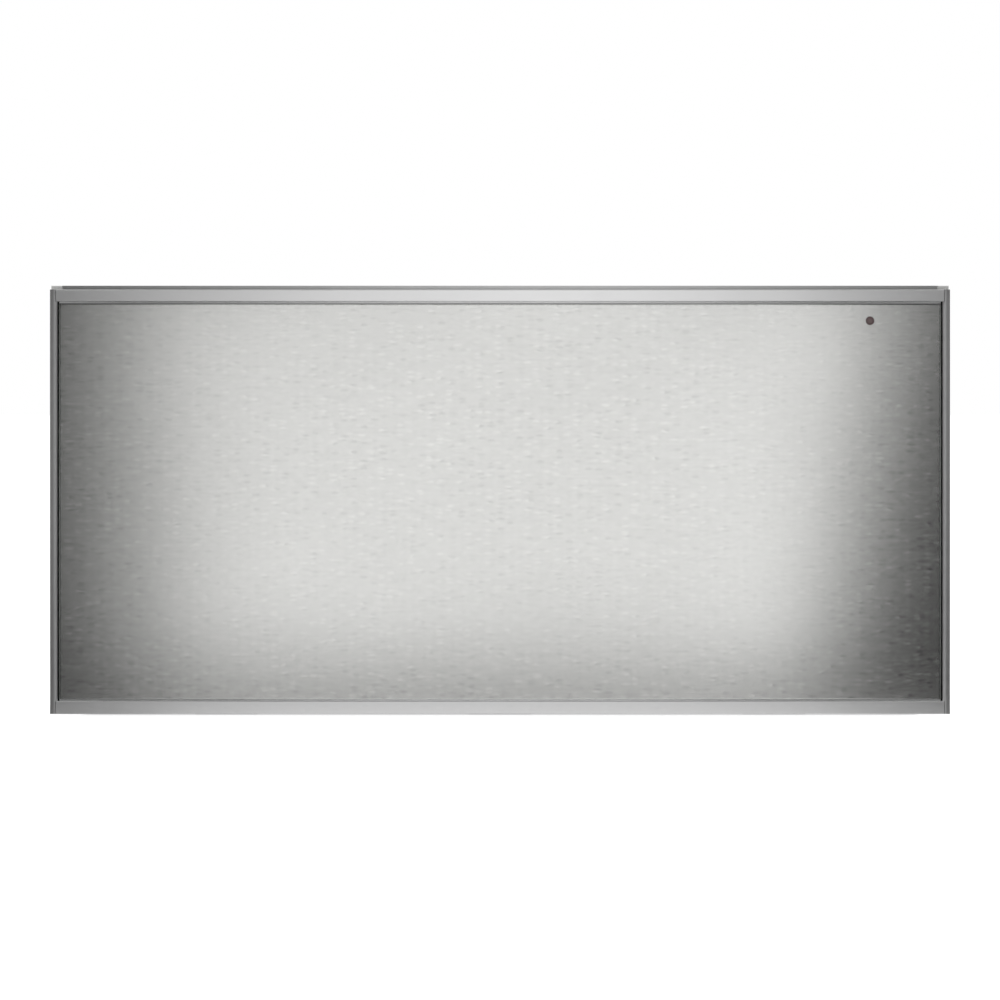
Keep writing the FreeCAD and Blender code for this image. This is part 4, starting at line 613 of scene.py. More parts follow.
@dataclass(frozen=True)
class HeaterSheath(Finish):
    """Sheathed heater tube, straw and blue from its own heat."""

    cold: Colour = (0.20, 0.19, 0.18)
    hot: Colour = (0.16, 0.11, 0.07)

    def dress(self, bench: Bench, place: Socket, shader: bpy.types.Node) -> None:
        """Heat tint in slow patches over a dull skin."""
        skin = bench.place(mould_grain(), {"Place": place, "Size": 0.0005})
        patch = bench.span(bench.noise(place, 18.0, 4.0), 0.0, 1.0, 0.35, 0.65)
        tone = bench.mix(patch, self.cold, self.hot)
        tone = bench.mix(bench.span(bench.noise(place, 34.0), 0.0, 0.35, 0.5, 0.7), tone, (0.10, 0.11, 0.17))
        bench.feed(shader, {"Base Color": tone, "Metallic": 0.85, "Roughness": bench.span(patch, 0.38, 0.55),
                            "Normal": self.bump(bench, skin.outputs["Height"], 0.00002)})


@dataclass(frozen=True)
class MineralBoard(Finish):
    """Pressed mineral fibre board."""

    tone: Colour = (0.66, 0.60, 0.44)

    def dress(self, bench: Bench, place: Socket, shader: bpy.types.Node) -> None:
        """Matted fibres in tone and height."""
        along = bench.add("Mapping", {"Vector": place, "Scale": (300.0, 1600.0, 900.0)}).outputs[0]
        across = bench.add("Mapping", {"Vector": place, "Scale": (1500.0, 260.0, 900.0)}).outputs[0]
        fibre = bench.sum("MAXIMUM", bench.noise(along, 1.0, 3.0), bench.noise(across, 1.0, 3.0))
        tone = bench.mix(bench.span(fibre, 0.0, 1.0, 0.4, 0.7), shade(self.tone, 0.8), shade(self.tone, 1.15))
        bench.feed(shader, {"Base Color": tone, "Roughness": 0.95, "Sheen Weight": 0.3,
                            "Normal": self.bump(bench, fibre, 0.0004)})


@dataclass(frozen=True)
class WoundMotor(Finish):
    """Motor can in zinc with the copper of its coil below."""

    coil_top: float = 0.123
    copper: Colour = (0.62, 0.30, 0.16)
    tone: Colour = (0.5, 0.51, 0.52)

    def dress(self, bench: Bench, place: Socket, shader: bpy.types.Node) -> None:
        """Copper turns under the can."""
        part = bench.add("SeparateXYZ", {0: place})
        coil = bench.sum("LESS_THAN", part.outputs["Z"], self.coil_top)
        turns = bench.add("TexWave", {"Vector": place, "Scale": 500.0, "Distortion": 0.6}, bands_direction="Z")
        wire = bench.sum("MULTIPLY", turns.outputs["Fac"], coil)
        skin = bench.span(bench.noise(place, 240.0, 4.0), 0.85, 1.1)
        plate = bench.mix(skin, shade(self.tone, 0.8), self.tone)
        tone = bench.mix(coil, plate, bench.mix(turns.outputs["Fac"], shade(self.copper, 0.6), self.copper))
        bench.feed(shader, {"Base Color": tone, "Metallic": 1.0, "Roughness": bench.span(skin, 0.3, 0.4),
                            "Normal": self.bump(bench, wire, 0.0002)})


STEEL_PANEL = BrushedSteel("panel_steel")
# Top and bottom bars: painted light raises the tone 12% on the bottom bar and on the top bar's lower edge.
BAR_STEEL = LippedSteel("front_bar_steel", tone=(0.88, 0.88, 0.88), roughness=0.33, anisotropy=0.1, contrast=0.02,
                        smear=0.02, line_length=0.12, axis="Z", middle=0.14045,
                        profile=((0.1305, 1.12), (0.1315, 1.12), (0.1317, 1.0), (0.1420, 1.0)))
# Side bars: the bar steel darkened to tone 0.47 as painted shade, with a painted highlight on the inner lip and painted
# shade on the outer edge.
SIDE_BAR_STEEL_PAINTED_SHADE = LippedSteel("side_bar_steel_painted_shade", tone=(0.47, 0.47, 0.47), roughness=0.36, anisotropy=0.1,
                              contrast=0.03, grain=Grain.UPRIGHT, line_length=0.12)
BEAD_STEEL = BrushedSteel("bead_steel", tone=(0.90, 0.90, 0.90), roughness=0.4, anisotropy=0.1, contrast=0.03)
COLLAR_STEEL = BrushedSteel("collar_steel", tone=(0.66, 0.66, 0.66), roughness=0.34, anisotropy=0.0, contrast=0.03)
TUB_STEEL = BrushedSteel("tub_steel", tone=(0.78, 0.775, 0.765), roughness=0.34, grain=Grain.DEEP, contrast=0.05,
                         smear=0.04)
WALL_STEEL = BrushedSteel("tub_wall_steel", tone=(0.78, 0.775, 0.765), roughness=0.34, contrast=0.05, smear=0.04)
TRAY_STEEL = BrushedSteel("front_tray_steel", tone=(0.66, 0.66, 0.65), roughness=0.34, contrast=0.04, smear=0.05)
DRAWER_ZINC = ZincSheet("drawer_steel", crystal=0.004, dust=0.04)
CASING_ZINC = ZincSheet("galvanised_casing")
# Base sheet: the zinc lightened to tone 0.74 as painted light against the shade under the drawer front.
BASE_ZINC_PAINTED_LIGHT = ZincSheet("galvanised_base_painted_light", tone=(0.74, 0.75, 0.76), dust=0.0)
RAIL_STEEL = PlatedSteel("zinc_steel")
CAGE_STEEL = PlatedSteel("cage_steel", tone=(0.72, 0.71, 0.68), greased=0.5)
SPRING_STEEL = PlatedSteel("spring_steel", tone=(0.5, 0.5, 0.5), greased=0.2)
FAN_METAL = PlatedSteel("fan_aluminium", tone=(0.80, 0.80, 0.81), roughness=0.34, greased=0.1,
                        film=(0.5, 0.49, 0.46))
SCREW_STEEL = PlatedSteel("screw_steel", tone=(0.62, 0.63, 0.64), greased=0.1)
CLEAR_GLASS = PaneGlass("pane_glass")
BASE_GLASS = ToughenedGlass("base_glass")
LENS_RED = LampLens("indicator_red")
HEATER = HeaterSheath("heater_steel")
INSULATION = MineralBoard("insulation")
MOTOR = WoundMotor("motor_steel")
RUBBER = Moulded("seal_rubber", tone=(0.012, 0.012, 0.012), speck=(0.025, 0.025, 0.025), roughness=0.7, grain=0.0008,
                 dust=0.02, gloss=0.3)
SILICONE = Moulded("pad_silicone", tone=(0.42, 0.42, 0.41), speck=(0.5, 0.5, 0.49), roughness=0.6, grain=0.001)
BUFFER = Moulded("buffer_plastic", tone=(0.60, 0.60, 0.59), speck=(0.68, 0.68, 0.67), roughness=0.5)
BLACK_PANEL = Moulded("control_black", roughness=0.38, grain=0.0003, depth=0.00002)
KNOB_PLASTIC = Moulded("knob_plastic", tone=(0.022, 0.022, 0.023), roughness=0.34, grain=0.00025, depth=0.00001)
SWITCH_PLASTIC = Moulded("switch_plastic", tone=(0.09, 0.10, 0.11), speck=(0.14, 0.15, 0.16))
CERAMIC = Moulded("limiter_ceramic", tone=(0.62, 0.60, 0.55), speck=(0.7, 0.69, 0.65), roughness=0.5)
PLUNGER_PLASTIC = Moulded("plunger_plastic", tone=(0.55, 0.56, 0.57), speck=(0.62, 0.62, 0.63))
MAGNET = Moulded("magnet", tone=(0.07, 0.065, 0.062), speck=(0.13, 0.12, 0.11), roughness=0.6, grain=0.0006)
SHEATH = Moulded("lead_sheath", tone=(0.50, 0.50, 0.48), speck=(0.58, 0.58, 0.56), roughness=0.55, grain=0.0006)
WHITE_INK = Moulded("dial_print", tone=(0.78, 0.78, 0.76), speck=(0.7, 0.7, 0.68), roughness=0.55, dust=0.03)


# Meshes

def piece(name: str, mesh: bpy.types.Mesh, finish: Finish, body: str = "",
          smooth: bool = True) -> bpy.types.Object:
    """Sets a mesh in the scene as a finished piece.

    Args:
        name: the piece's name.
        mesh: its mesh, in the row frame.
        finish: its finish.
        body: the body that it rides on, or nothing for a blended piece.
        smooth: whether its faces are shaded smooth up to 35 degrees.

    Returns:
        The new object.
    """
    thing = bpy.data.objects.new(name, mesh)
    bpy.context.scene.collection.objects.link(thing)
    mesh.materials.clear()
    mesh.materials.append(finish.material())
    if smooth:
        mesh.shade_smooth()
        mesh.set_sharp_from_angle(angle=math.radians(35))
    if body:
        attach(thing, body)
    log.info("%s: %d faces", name, len(mesh.polygons))
    return thing


def dressed(finish: Finish, *nodes: str) -> None:
    """Gives CAD nodes a finish.

    Args:
        finish: the finish.
        nodes: names of the nodes.
    """
    for name in nodes:
        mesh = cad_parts[name].data
        mesh.materials.clear()
        mesh.materials.append(finish.material())
    log.info("%s on %s", finish.name, ", ".join(nodes))


def mesh_of(name: str, shape: bmesh.types.BMesh) -> bpy.types.Mesh:
    """Turns a bmesh into a mesh and frees it."""
    mesh = bpy.data.meshes.new(name)
    bmesh.ops.recalc_face_normals(shape, faces=shape.faces)
    shape.to_mesh(mesh)
    shape.free()
    return mesh


def box_into(shape: bmesh.types.BMesh, low: Point, high: Point) -> list[bmesh.types.BMVert]:
    """Adds a box between two corners.

    Args:
        shape: the bmesh to add to.
        low: its lowest corner.
        high: its highest corner.

    Returns:
        The box's vertices.
    """
    middle = (Vector(low) + Vector(high)) / 2
    size = Vector(high) - Vector(low)
    place = Matrix.Translation(middle) @ Matrix.Diagonal((*size, 1.0))
    return bmesh.ops.create_cube(shape, size=1.0, matrix=place)["verts"]


def bevelled(shape: bmesh.types.BMesh, width: float, segments: int, angle: float = 30.0) -> None:
    """Bevels the sharp edges of a shape.

    Args:
        shape: the bmesh.
        width: the bevel's width.
        segments: facets across it.
        angle: least turn of an edge that is bevelled, in degrees.
    """
    sharp = [e for e in shape.edges if e.is_manifold and e.calc_face_angle() > math.radians(angle)]
    bmesh.ops.bevel(shape, geom=sharp, offset=width, segments=segments, affect="EDGES", profile=0.5)


def lathe_into(shape: bmesh.types.BMesh, profile: Sequence[tuple[float, float]], place: Matrix,
               steps: int = 32) -> None:
    """Adds a turned form.

    Args:
        shape: the bmesh to add to.
        profile: radius and height of each ring, from the bottom up.
        place: where its axis stands, with Z along the axis.
        steps: facets around it.
    """
    rings = []
    for radius, height in profile:
        ring = [shape.verts.new(place @ Vector((radius * math.cos(2 * math.pi * i / steps),
                                                radius * math.sin(2 * math.pi * i / steps), height)))
                for i in range(steps)]
        rings.append(ring)
    for low, high in zip(rings, rings[1:]):
        for i in range(steps):
            j = (i + 1) % steps
            shape.faces.new((low[i], low[j], high[j], high[i]))
    shape.faces.new(list(reversed(rings[0])))
    shape.faces.new(rings[-1])


def pipe(name: str, points: Sequence[Point], radius: float, steps: int = 10) -> bpy.types.Mesh:
    """A round tube on a smooth line.

    Args:
        name: the mesh's name.
        points: control points of the line.
        radius: the tube's radius.
        steps: line segments between two points.

    Returns:
        The tube's mesh.
    """
    curve = bpy.data.curves.new(name, "CURVE")
    curve.dimensions = "3D"
    curve.bevel_depth = radius
    curve.bevel_resolution = 4
    curve.resolution_u = steps
    curve.use_fill_caps = True
    line = curve.splines.new("NURBS")
    line.points.add(len(points) - 1)
    for knot, point in zip(line.points, points):
        knot.co = (*point, 1.0)
    line.use_endpoint_u = True
    line.order_u = 3
    holder = bpy.data.objects.new(name + "_line", curve)
    bpy.context.scene.collection.objects.link(holder)
    made = bpy.context.evaluated_depsgraph_get()
    mesh = bpy.data.meshes.new_from_object(holder.evaluated_get(made))
    bpy.data.objects.remove(holder)
    bpy.data.curves.remove(curve)
    mesh.name = name
    return mesh


# Sub-assemblies

@dataclass
class Front:
    """Front frame, pane, steel panel and indicator."""

    pane_half: float = 0.28905
    pane_face: float = -0.2665
    pane_back: float = -0.2626
    pane_bottom: float = 0.01085
    pane_top: float = 0.26955
    ground_edge: float = 0.0004
    bead_half: float = 0.2889
    low_bead: tuple[Point, Point] = ((-0.2889, -0.2656, 0.0096), (0.2889, -0.26505, 0.0107))
    top_bead: Sequence[tuple[float, float]] = ((-0.26505, 0.27135), (-0.26695, 0.27135), (-0.26742, 0.27090),
                                               (-0.26742, 0.27055), (-0.26660, 0.26972), (-0.26505, 0.26972))
    bead_round: float = 0.00022
    top_bead_round: float = 0.00006

    def build(self) -> None:
        """Builds the pane with its ground edges and the beads above and below it."""
        low = bmesh.new()
        box_into(low, *self.low_bead)
        bevelled(low, self.bead_round, 3)
        piece("glazing_bead_low", mesh_of("glazing_bead_low", low), BEAD_STEEL, "drawer")
        top = bmesh.new()
        ends = [[top.verts.new((x, y, z)) for y, z in self.top_bead] for x in (-self.bead_half, self.bead_half)]
        for end in ends:
            top.faces.new(end)
        for i, vert in enumerate(ends[0]):
            top.faces.new((ends[0][i - 1], vert, ends[1][i], ends[1][i - 1]))
        bmesh.ops.recalc_face_normals(top, faces=top.faces)
        bevelled(top, self.top_bead_round, 2)
        piece("glazing_bead_top", mesh_of("glazing_bead_top", top), BEAD_STEEL, "drawer")
        shape = bmesh.new()
        box_into(shape, (-self.pane_half, self.pane_face, self.pane_bottom),
                 (self.pane_half, self.pane_back, self.pane_top))
        bevelled(shape, self.ground_edge, 1)
        pane = piece("glass_pane", mesh_of("glass_pane", shape), CLEAR_GLASS, "drawer", smooth=False)
        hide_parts("front_glass")

    def dress(self) -> None:
        """Finishes of the front's carried-over pieces."""
        dressed(BAR_STEEL, "frame_top", "frame_bottom")
        dressed(SIDE_BAR_STEEL_PAINTED_SHADE, "frame_right", "frame_left")
        dressed(STEEL_PANEL, "front_steel_panel")
        dressed(RUBBER, "glass_seal")
        dressed(TRAY_STEEL, "front_inner_panel")
        dressed(LENS_RED, "indicator_light_guide")


@dataclass
class Casing:
    """Casing, collar, buffers and their fasteners."""

    side: float = 0.275
    rail_z: float = 0.060
    rivet_ys: Sequence[float] = (-0.197, -0.007, 0.183)
    back: float = 0.2575
    screw_x: float = 0.269
    screw_zs: Sequence[float] = (0.023, 0.140, 0.257)
    head: float = 0.004
    rivet_height: float = 0.001
    screw_height: float = 0.002

    def build(self) -> None:
        """Builds the rivets of the rails and the screws of the back."""
        shape = bmesh.new()
        r, h = self.head, self.rivet_height
        dome = [(r, 0.0), (r * 0.99, h * 0.35), (r * 0.86, h * 0.75), (r * 0.62, h * 0.97), (r * 0.42, h),
                (r * 0.36, h * 0.9), (r * 0.32, h * 0.45), (r * 0.05, h * 0.4)]
        for turn in (1, -1):
            for y in self.rivet_ys:
                place = Matrix.Translation((turn * self.side, y, self.rail_z))
                lathe_into(shape, dome, place @ Matrix.Rotation(turn * math.pi / 2, 4, "Y"))
        rivets = piece("rail_rivets", mesh_of("rail_rivets", shape), SCREW_STEEL, "casing")
        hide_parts("casing_fasteners")
        screws = self.screws()
        piece("back_screws", screws, SCREW_STEEL, "casing")

    def screws(self) -> bpy.types.Mesh:
        """Pan-head screws with a cross recess.

        Returns:
            All the screws as one mesh.
        """
        head = bmesh.new()
        r, h = self.head, self.screw_height
        lathe_into(head, [(r, 0.0), (r, h * 0.3), (r * 0.94, h * 0.6), (r * 0.74, h * 0.86), (r * 0.4, h * 0.99),
                          (r * 0.04, h)], Matrix.Identity(4))
        plain = bpy.data.objects.new("screw_head", mesh_of("screw_head", head))
        cutter = bmesh.new()
        for half_x, half_y in ((0.0023, 0.00045), (0.00045, 0.0023)):
            corners = box_into(cutter, (-half_x, -half_y, h * 0.35), (half_x, half_y, h * 1.5))
            for vert in corners:
                if vert.co.z < h:
                    vert.co.x *= 0.55
                    vert.co.y *= 0.55
        tool = bpy.data.objects.new("cross_bit", mesh_of("cross_bit", cutter))
        for thing in (plain, tool):
            bpy.context.scene.collection.objects.link(thing)
        cut = plain.modifiers.new("recess", "BOOLEAN")
        cut.object, cut.operation, cut.solver, cut.use_self = tool, "DIFFERENCE", "EXACT", True
        made = bpy.context.evaluated_depsgraph_get()
        one = bpy.data.meshes.new_from_object(plain.evaluated_get(made))
        for thing in (plain, tool):
            bpy.data.objects.remove(thing)
        every = bmesh.new()
        for index, z in enumerate(self.screw_zs):
            for turn in (-1, 1):
                part = one.copy()
                spin = Matrix.Rotation(0.5 * index + turn, 4, "Z")
                stand = Matrix.Rotation(-math.pi / 2, 4, "X")
                part.transform(Matrix.Translation((turn * self.screw_x, self.back, z)) @ stand @ spin)
                every.from_mesh(part)
                bpy.data.meshes.remove(part)
        return mesh_of("back_screws", every)

    def dress(self) -> None:
        """Finishes of the casing's carried-over pieces."""
        dressed(BASE_ZINC_PAINTED_LIGHT, "casing_base")
        dressed(CASING_ZINC, "casing_side_right", "casing_side_left", "casing_top", "casing_back")
        dressed(COLLAR_STEEL, "face_frame")
        dressed(BUFFER, "stop_buffer_right", "stop_buffer_left")


@dataclass
class Runners:
    """Full-extension ball runners."""

    def dress(self) -> None:
        """Finishes of the rails and ball cages."""
        for side in ("right", "left"):
            dressed(RAIL_STEEL, "rail_outer_" + side, "rail_middle_" + side, "rail_inner_" + side)
            dressed(CAGE_STEEL, "ball_cage_outer_" + side, "ball_cage_inner_" + side)


@dataclass
class DrawerBox:
    """Drawer box, warm space and insulation."""

    board_low: Point = (-0.2335, -0.2140, 0.0111)
    board_high: Point = (0.2335, 0.1850, 0.0206)
    board_cells: tuple[int, int] = (60, 52)
    board_ripple: float = 0.0005

    def build(self) -> None:
        """Builds the insulation board with its soft, uneven faces."""
        shape = bmesh.new()
        box_into(shape, self.board_low, self.board_high)
        across = [e for e in shape.edges if abs((e.verts[0].co - e.verts[1].co).x) > 0.1]
        deep = [e for e in shape.edges if abs((e.verts[0].co - e.verts[1].co).y) > 0.1]
        bmesh.ops.subdivide_edges(shape, edges=across, cuts=self.board_cells[0], use_grid_fill=True)
        deep = [e for e in shape.edges if abs((e.verts[0].co - e.verts[1].co).y) > 0.1]
        bmesh.ops.subdivide_edges(shape, edges=deep, cuts=self.board_cells[1], use_grid_fill=True)
        middle = (Vector(self.board_low) + Vector(self.board_high)) / 2
        for vert in shape.verts:
            wave = math.sin(vert.co.x * 91.0 + 2.0) * math.cos(vert.co.y * 77.0) + math.sin(vert.co.y * 143.0)
            inward = 0.5 + 0.25 * wave
            vert.co.z += (-1 if vert.co.z > middle.z else 1) * inward * self.board_ripple
        board = piece("insulation_board", mesh_of("insulation_board", shape), INSULATION, "drawer")
        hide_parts("base_insulation")

    def dress(self) -> None:
        """Finishes of the drawer's carried-over pieces."""
        dressed(TUB_STEEL, "tub_liner")
        dressed(WALL_STEEL, "tub_front_wall", "tub_back_wall", "fan_compartment_cover", "fan_grille")
        dressed(DRAWER_ZINC, "drawer_side_right", "drawer_side_left", "drawer_floor_pan", "drawer_back_panel",
                "motor_bracket")
        dressed(BASE_GLASS, "glass_base_plate")
        dressed(SILICONE, "glass_pads")
        dressed(HEATER, "base_heater", "ring_heater")
        dressed(SCREW_STEEL, "drawer_screws")


@dataclass
class FanUnit:
    """Fan, its motor and limiter."""

    def dress(self) -> None:
        """Finishes of the fan's pieces."""
        dressed(FAN_METAL, "fan_wheel")
        dressed(MOTOR, "fan_motor")
        dressed(CERAMIC, "heat_limiter")


@dataclass
class Controls:
    """Control ledge with its knob, the dial's numbers and the pointer's inlay."""

    knob: tuple[float, float] = (0.215, -0.2315)
    ledge: float = 0.262
    dial_radius: float = 0.0138
    number_height: float = 0.0027
    print_lift: float = 0.00004
    step: float = 60.0
    rib_top: float = 0.2722
    inlay_width: float = 0.0009
    inlay_ends: tuple[float, float] = (-0.2406, -0.2330)

    def build(self) -> None:
        """Builds the numbers 0 to 4 round the knob and the pale line on its pointer."""
        for number in range(5):
            angle = math.radians(-90 - self.step * number)
            text = bpy.data.curves.new(f"dial_{number}", "FONT")
            text.body = str(number)
            text.size = self.number_height * 1.4
            text.align_x = "CENTER"
            text.align_y = "CENTER"
            text.extrude = self.print_lift / 2
            text.materials.append(WHITE_INK.material())
            mark = bpy.data.objects.new(f"dial_{number}", text)
            bpy.context.scene.collection.objects.link(mark)
            mark.location = (self.knob[0] + self.dial_radius * math.cos(angle),
                             self.knob[1] + self.dial_radius * math.sin(angle), self.ledge + self.print_lift)
            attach(mark, "drawer")
        shape = bmesh.new()
        half = self.inlay_width / 2
        box_into(shape, (self.knob[0] - half, self.inlay_ends[0], self.rib_top - 0.0002),
                 (self.knob[0] + half, self.inlay_ends[1], self.rib_top + self.print_lift))
        bevelled(shape, 0.00002, 1)
        piece("pointer_inlay", mesh_of("pointer_inlay", shape), WHITE_INK, "knob")

    def dress(self) -> None:
        """Finishes of the controls' carried-over pieces."""
        dressed(BLACK_PANEL, "control_panel")
        dressed(KNOB_PLASTIC, "selector_knob")
        dressed(SWITCH_PLASTIC, "selector_switch", "control_module")


@dataclass
class BackGear:
    """Ejector, drawer switch, terminal box and the drawer's lead."""

    axis_z: float = 0.150
    spring_front: float = 0.24690
    spring_rear: float = 0.25350
    spring_radius: float = 0.0054
    spring_turns: float = 3.25
    closed_turns: float = 0.75
    wire: float = 0.0004
    lead_y: float = 0.24825
    lead_radius: float = 0.003
    lead_route: Sequence[tuple[float, float]] = ((-0.070, 0.055), (-0.048, 0.055), (-0.024, 0.0552), (-0.003, 0.058),
                                                 (0.0105, 0.070), (0.014, 0.090), (0.014, 0.111))
    relief_length: float = 0.014

    def build(self) -> None:
        """Builds the spring, the lead and the lead's strain relief."""
        steps = round(12 * self.spring_turns)
        points = []
        for index in range(steps + 1):
            turn = index / 12
            risen = (turn - self.closed_turns) / (self.spring_turns - 2 * self.closed_turns)
            y = self.spring_front + (self.spring_rear - self.spring_front) * min(max(risen, 0.0), 1.0)
            reach = self.spring_radius * (1.0 if 0 < index < steps else math.cos(math.pi / 12))
            points.append((reach * math.cos(math.tau * turn), y, self.axis_z + reach * math.sin(math.tau * turn)))
        spring = piece("return_spring", pipe("return_spring", points, self.wire, 4), SPRING_STEEL)
        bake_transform(spring)
        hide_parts("ejector_spring")
        route = [(x, self.lead_y, z) for x, z in self.lead_route]
        lead = piece("lead_to_drawer", pipe("lead_to_drawer", route, self.lead_radius), SHEATH)
        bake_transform(lead)
        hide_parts("drawer_lead")
        shape = bmesh.new()
        r = self.lead_radius
        rings = [(r * 1.9, 0.0), (r * 1.9, 0.0015), (r * 1.55, 0.0022)]
        for index in range(5):
            z = 0.003 + index * 0.002
            rings += [(r * (1.5 - 0.07 * index), z), (r * (1.5 - 0.07 * index), z + 0.0012), (r * 1.12, z + 0.0014)]
        rings.append((r * 1.1, self.relief_length))
        place = Matrix.Translation(Vector(route[0])) @ Matrix.Rotation(math.pi / 2, 4, "Y")
        lathe_into(shape, rings, place, 24)
        piece("lead_relief", mesh_of("lead_relief", shape), RUBBER, "casing")

    def dress(self) -> None:
        """Finishes of the carried-over pieces at the back."""
        dressed(SWITCH_PLASTIC, "terminal_box", "ejector_housing", "reed_switch")
        dressed(RUBBER, "mains_gland")
        dressed(PLUNGER_PLASTIC, "ejector_plunger")
        dressed(MAGNET, "drawer_magnet")


@dataclass
class Studio:
    """Floor, lamps, reflection card, world and camera."""

    distance: float = 20.0
    front: float = -0.2675
    height: float = 0.1413
    eye_height: float = 0.262
    seen_width: float = 0.65556
    sensor: float = 36.0
    floor_half: float = 60.0
    card_gap: float = 0.5
    tent_half: float = 1.1
    tent_top: float = 1.1
    tent_rear: float = 0.5
    tent_level: float = 0.6
    wing_level: float = 0.3
    room_light: float = 0.65
    foot_level: float = 0.37
    foot_middle: float = 0.15
    foot_near: float = 0.4
    foot_end: float = 0.6
    lean_left: float = 0.06
    lean_right: float = 0.185
    crown_from: float = 0.297
    floor_for_camera: float = 0.62
    floor_for_metal: float = 0.15
    across: Sequence[tuple[float, float]] = field(default_factory=lambda: (
        (-0.75, 0.8), (-0.50, 0.35), (-0.38, 0.03), (-0.30, 0.07), (-0.25, 0.43), (-0.20, 0.93), (-0.15, 1.03),
        (-0.10, 1.03), (0.12, 1.03), (0.17, 1.13), (0.205, 1.08), (0.24, 0.53), (0.28, 0.05), (0.36, 0.02),
        (0.50, 0.35), (0.75, 0.8)))
    upward: Sequence[tuple[float, float]] = field(default_factory=lambda: (
        (0.0, 0.37), (0.03, 0.82), (0.06, 1.18), (0.09, 1.07), (0.13, 1.0), (0.35, 1.0), (0.9, 0.6)))
    crown: Sequence[tuple[float, float]] = field(default_factory=lambda: (
        (-0.30, 0.4), (-0.20, 0.03), (-0.12, 0.15), (-0.05, 0.8), (0.06, 0.9), (0.12, 0.55), (0.20, 0.06),
        (0.30, 0.4)))
    beside: Sequence[tuple[float, float]] = field(default_factory=lambda: (
        (-0.38, 0.37), (-0.30, 0.40), (-0.25, 0.60), (-0.20, 0.92), (-0.15, 1.02), (0.17, 1.08), (0.205, 1.08),
        (0.24, 0.88), (0.28, 0.68), (0.36, 0.58)))

    def camera(self) -> None:
        """Sets the camera far in front, aimed at the photograph's middle."""
        data = bpy.data.cameras.new("photo_camera")
        data.sensor_width = self.sensor
        data.lens = self.sensor * self.distance / self.seen_width
        data.clip_start = 0.1
        data.clip_end = 200.0
        view = bpy.data.objects.new("photo_camera", data)
        view.location = (0.0, self.front - self.distance, self.eye_height)
        tilt = math.atan((self.eye_height - self.height) / self.distance)
        view.rotation_euler = (math.pi / 2 - tilt, 0.0, 0.0)
        bpy.context.scene.collection.objects.link(view)
        bpy.context.scene.camera = view

    def seen(self, bench: Bench) -> Socket:
        """Whether a ray comes from the camera, a reflection or glass."""
        path = bench.add("LightPath")
        seen = bench.sum("MAXIMUM", path.outputs["Is Camera Ray"], path.outputs["Is Glossy Ray"])
        return bench.sum("MAXIMUM", seen, path.outputs["Is Transmission Ray"])

    def world(self) -> None:
        """White surroundings, dimmer as a light than as a background."""
        made = bpy.data.worlds.new("white_room")
        made.use_nodes = True
        bench = Bench(made.node_tree)
        strength = bench.span(self.seen(bench), self.room_light, 1.0)
        back = bench.add("Background", {"Color": (1.0, 1.0, 1.0, 1.0), "Strength": strength})
        bench.add("OutputWorld", {"Surface": back.outputs[0]})
        bpy.context.scene.world = made

    def floor(self) -> None:
        """Pale floor that shows white and keeps the shadow."""
        mesh = bpy.data.meshes.new("floor")
        h = self.floor_half
        mesh.from_pydata([(-h, -h, 0), (h, -h, 0), (h, h, 0), (-h, h, 0)], [], [(0, 1, 2, 3)])
        floor = bpy.data.objects.new("floor", mesh)
        bpy.context.scene.collection.objects.link(floor)
        made = bpy.data.materials.new("floor_white")
        made.use_nodes = True
        bench = Bench(made.node_tree)
        shader = bench.add("BsdfPrincipled", {"Base Color": (0.8, 0.8, 0.8, 1.0), "Roughness": 0.9,
                                              "Specular IOR Level": 0.0})
        path = bench.add("LightPath")
        metal = bench.sum("MAXIMUM", path.outputs["Is Glossy Ray"], path.outputs["Is Transmission Ray"])
        glow = bench.sum("ADD", bench.span(path.outputs["Is Camera Ray"], 0.0, self.floor_for_camera),
                         bench.span(metal, 0.0, self.floor_for_metal))
        bench.feed(shader, {"Emission Color": (1.0, 1.0, 1.0, 1.0),
                            "Emission Strength": glow})
        bench.add("OutputMaterial", {"Surface": shader.outputs[0]})
        mesh.materials.append(made)
        floor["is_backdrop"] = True

    def tent(self) -> None:
        """Light tent seen only in reflections, bright in front between two dark flags."""
        y0, y1, rear = self.front - self.card_gap, self.front + 0.006, self.tent_rear
        w, top, z = self.tent_half, self.tent_top, 0.0005
        mesh = bpy.data.meshes.new("light_tent")
        mesh.from_pydata([(-w, y0, z), (w, y0, z), (w, y0, top), (-w, y0, top), (-w, y1, z), (w, y1, z),
                          (-w, rear, z), (w, rear, z), (w, rear, top), (-w, rear, top)], [],
                         [(0, 1, 2, 3), (0, 1, 5, 4), (0, 3, 9, 6), (1, 2, 8, 7), (3, 2, 8, 9)])
        tent = bpy.data.objects.new("light_tent", mesh)
        bpy.context.scene.collection.objects.link(tent)
        tent.visible_camera = tent.visible_diffuse = tent.visible_shadow = False
        made = bpy.data.materials.new("tent_light")
        made.use_nodes = True
        made.cycles.emission_sampling = "NONE"
        bench = Bench(made.node_tree)
        part = bench.add("SeparateXYZ", {0: bench.add("TexCoord").outputs["Object"]})
        slope = bench.span(part.outputs["X"], -self.lean_left, self.lean_right, -0.1, 0.1)
        lean = bench.sum("MULTIPLY", bench.sum("SUBTRACT", self.height, part.outputs["Z"]), slope)
        sideways = bench.ramp(bench.sum("ADD", part.outputs["X"], lean), self.across)
        level = bench.sum("MULTIPLY", sideways, bench.ramp(part.outputs["Z"], self.upward))
        above = bench.span(part.outputs["Z"], 0.0, 1.0, self.crown_from, self.crown_from + 0.03)
        crown = bench.ramp(part.outputs["X"], self.crown)
        level = bench.sum("MULTIPLY", level, bench.mix(above, (1.0, 1.0, 1.0), crown))
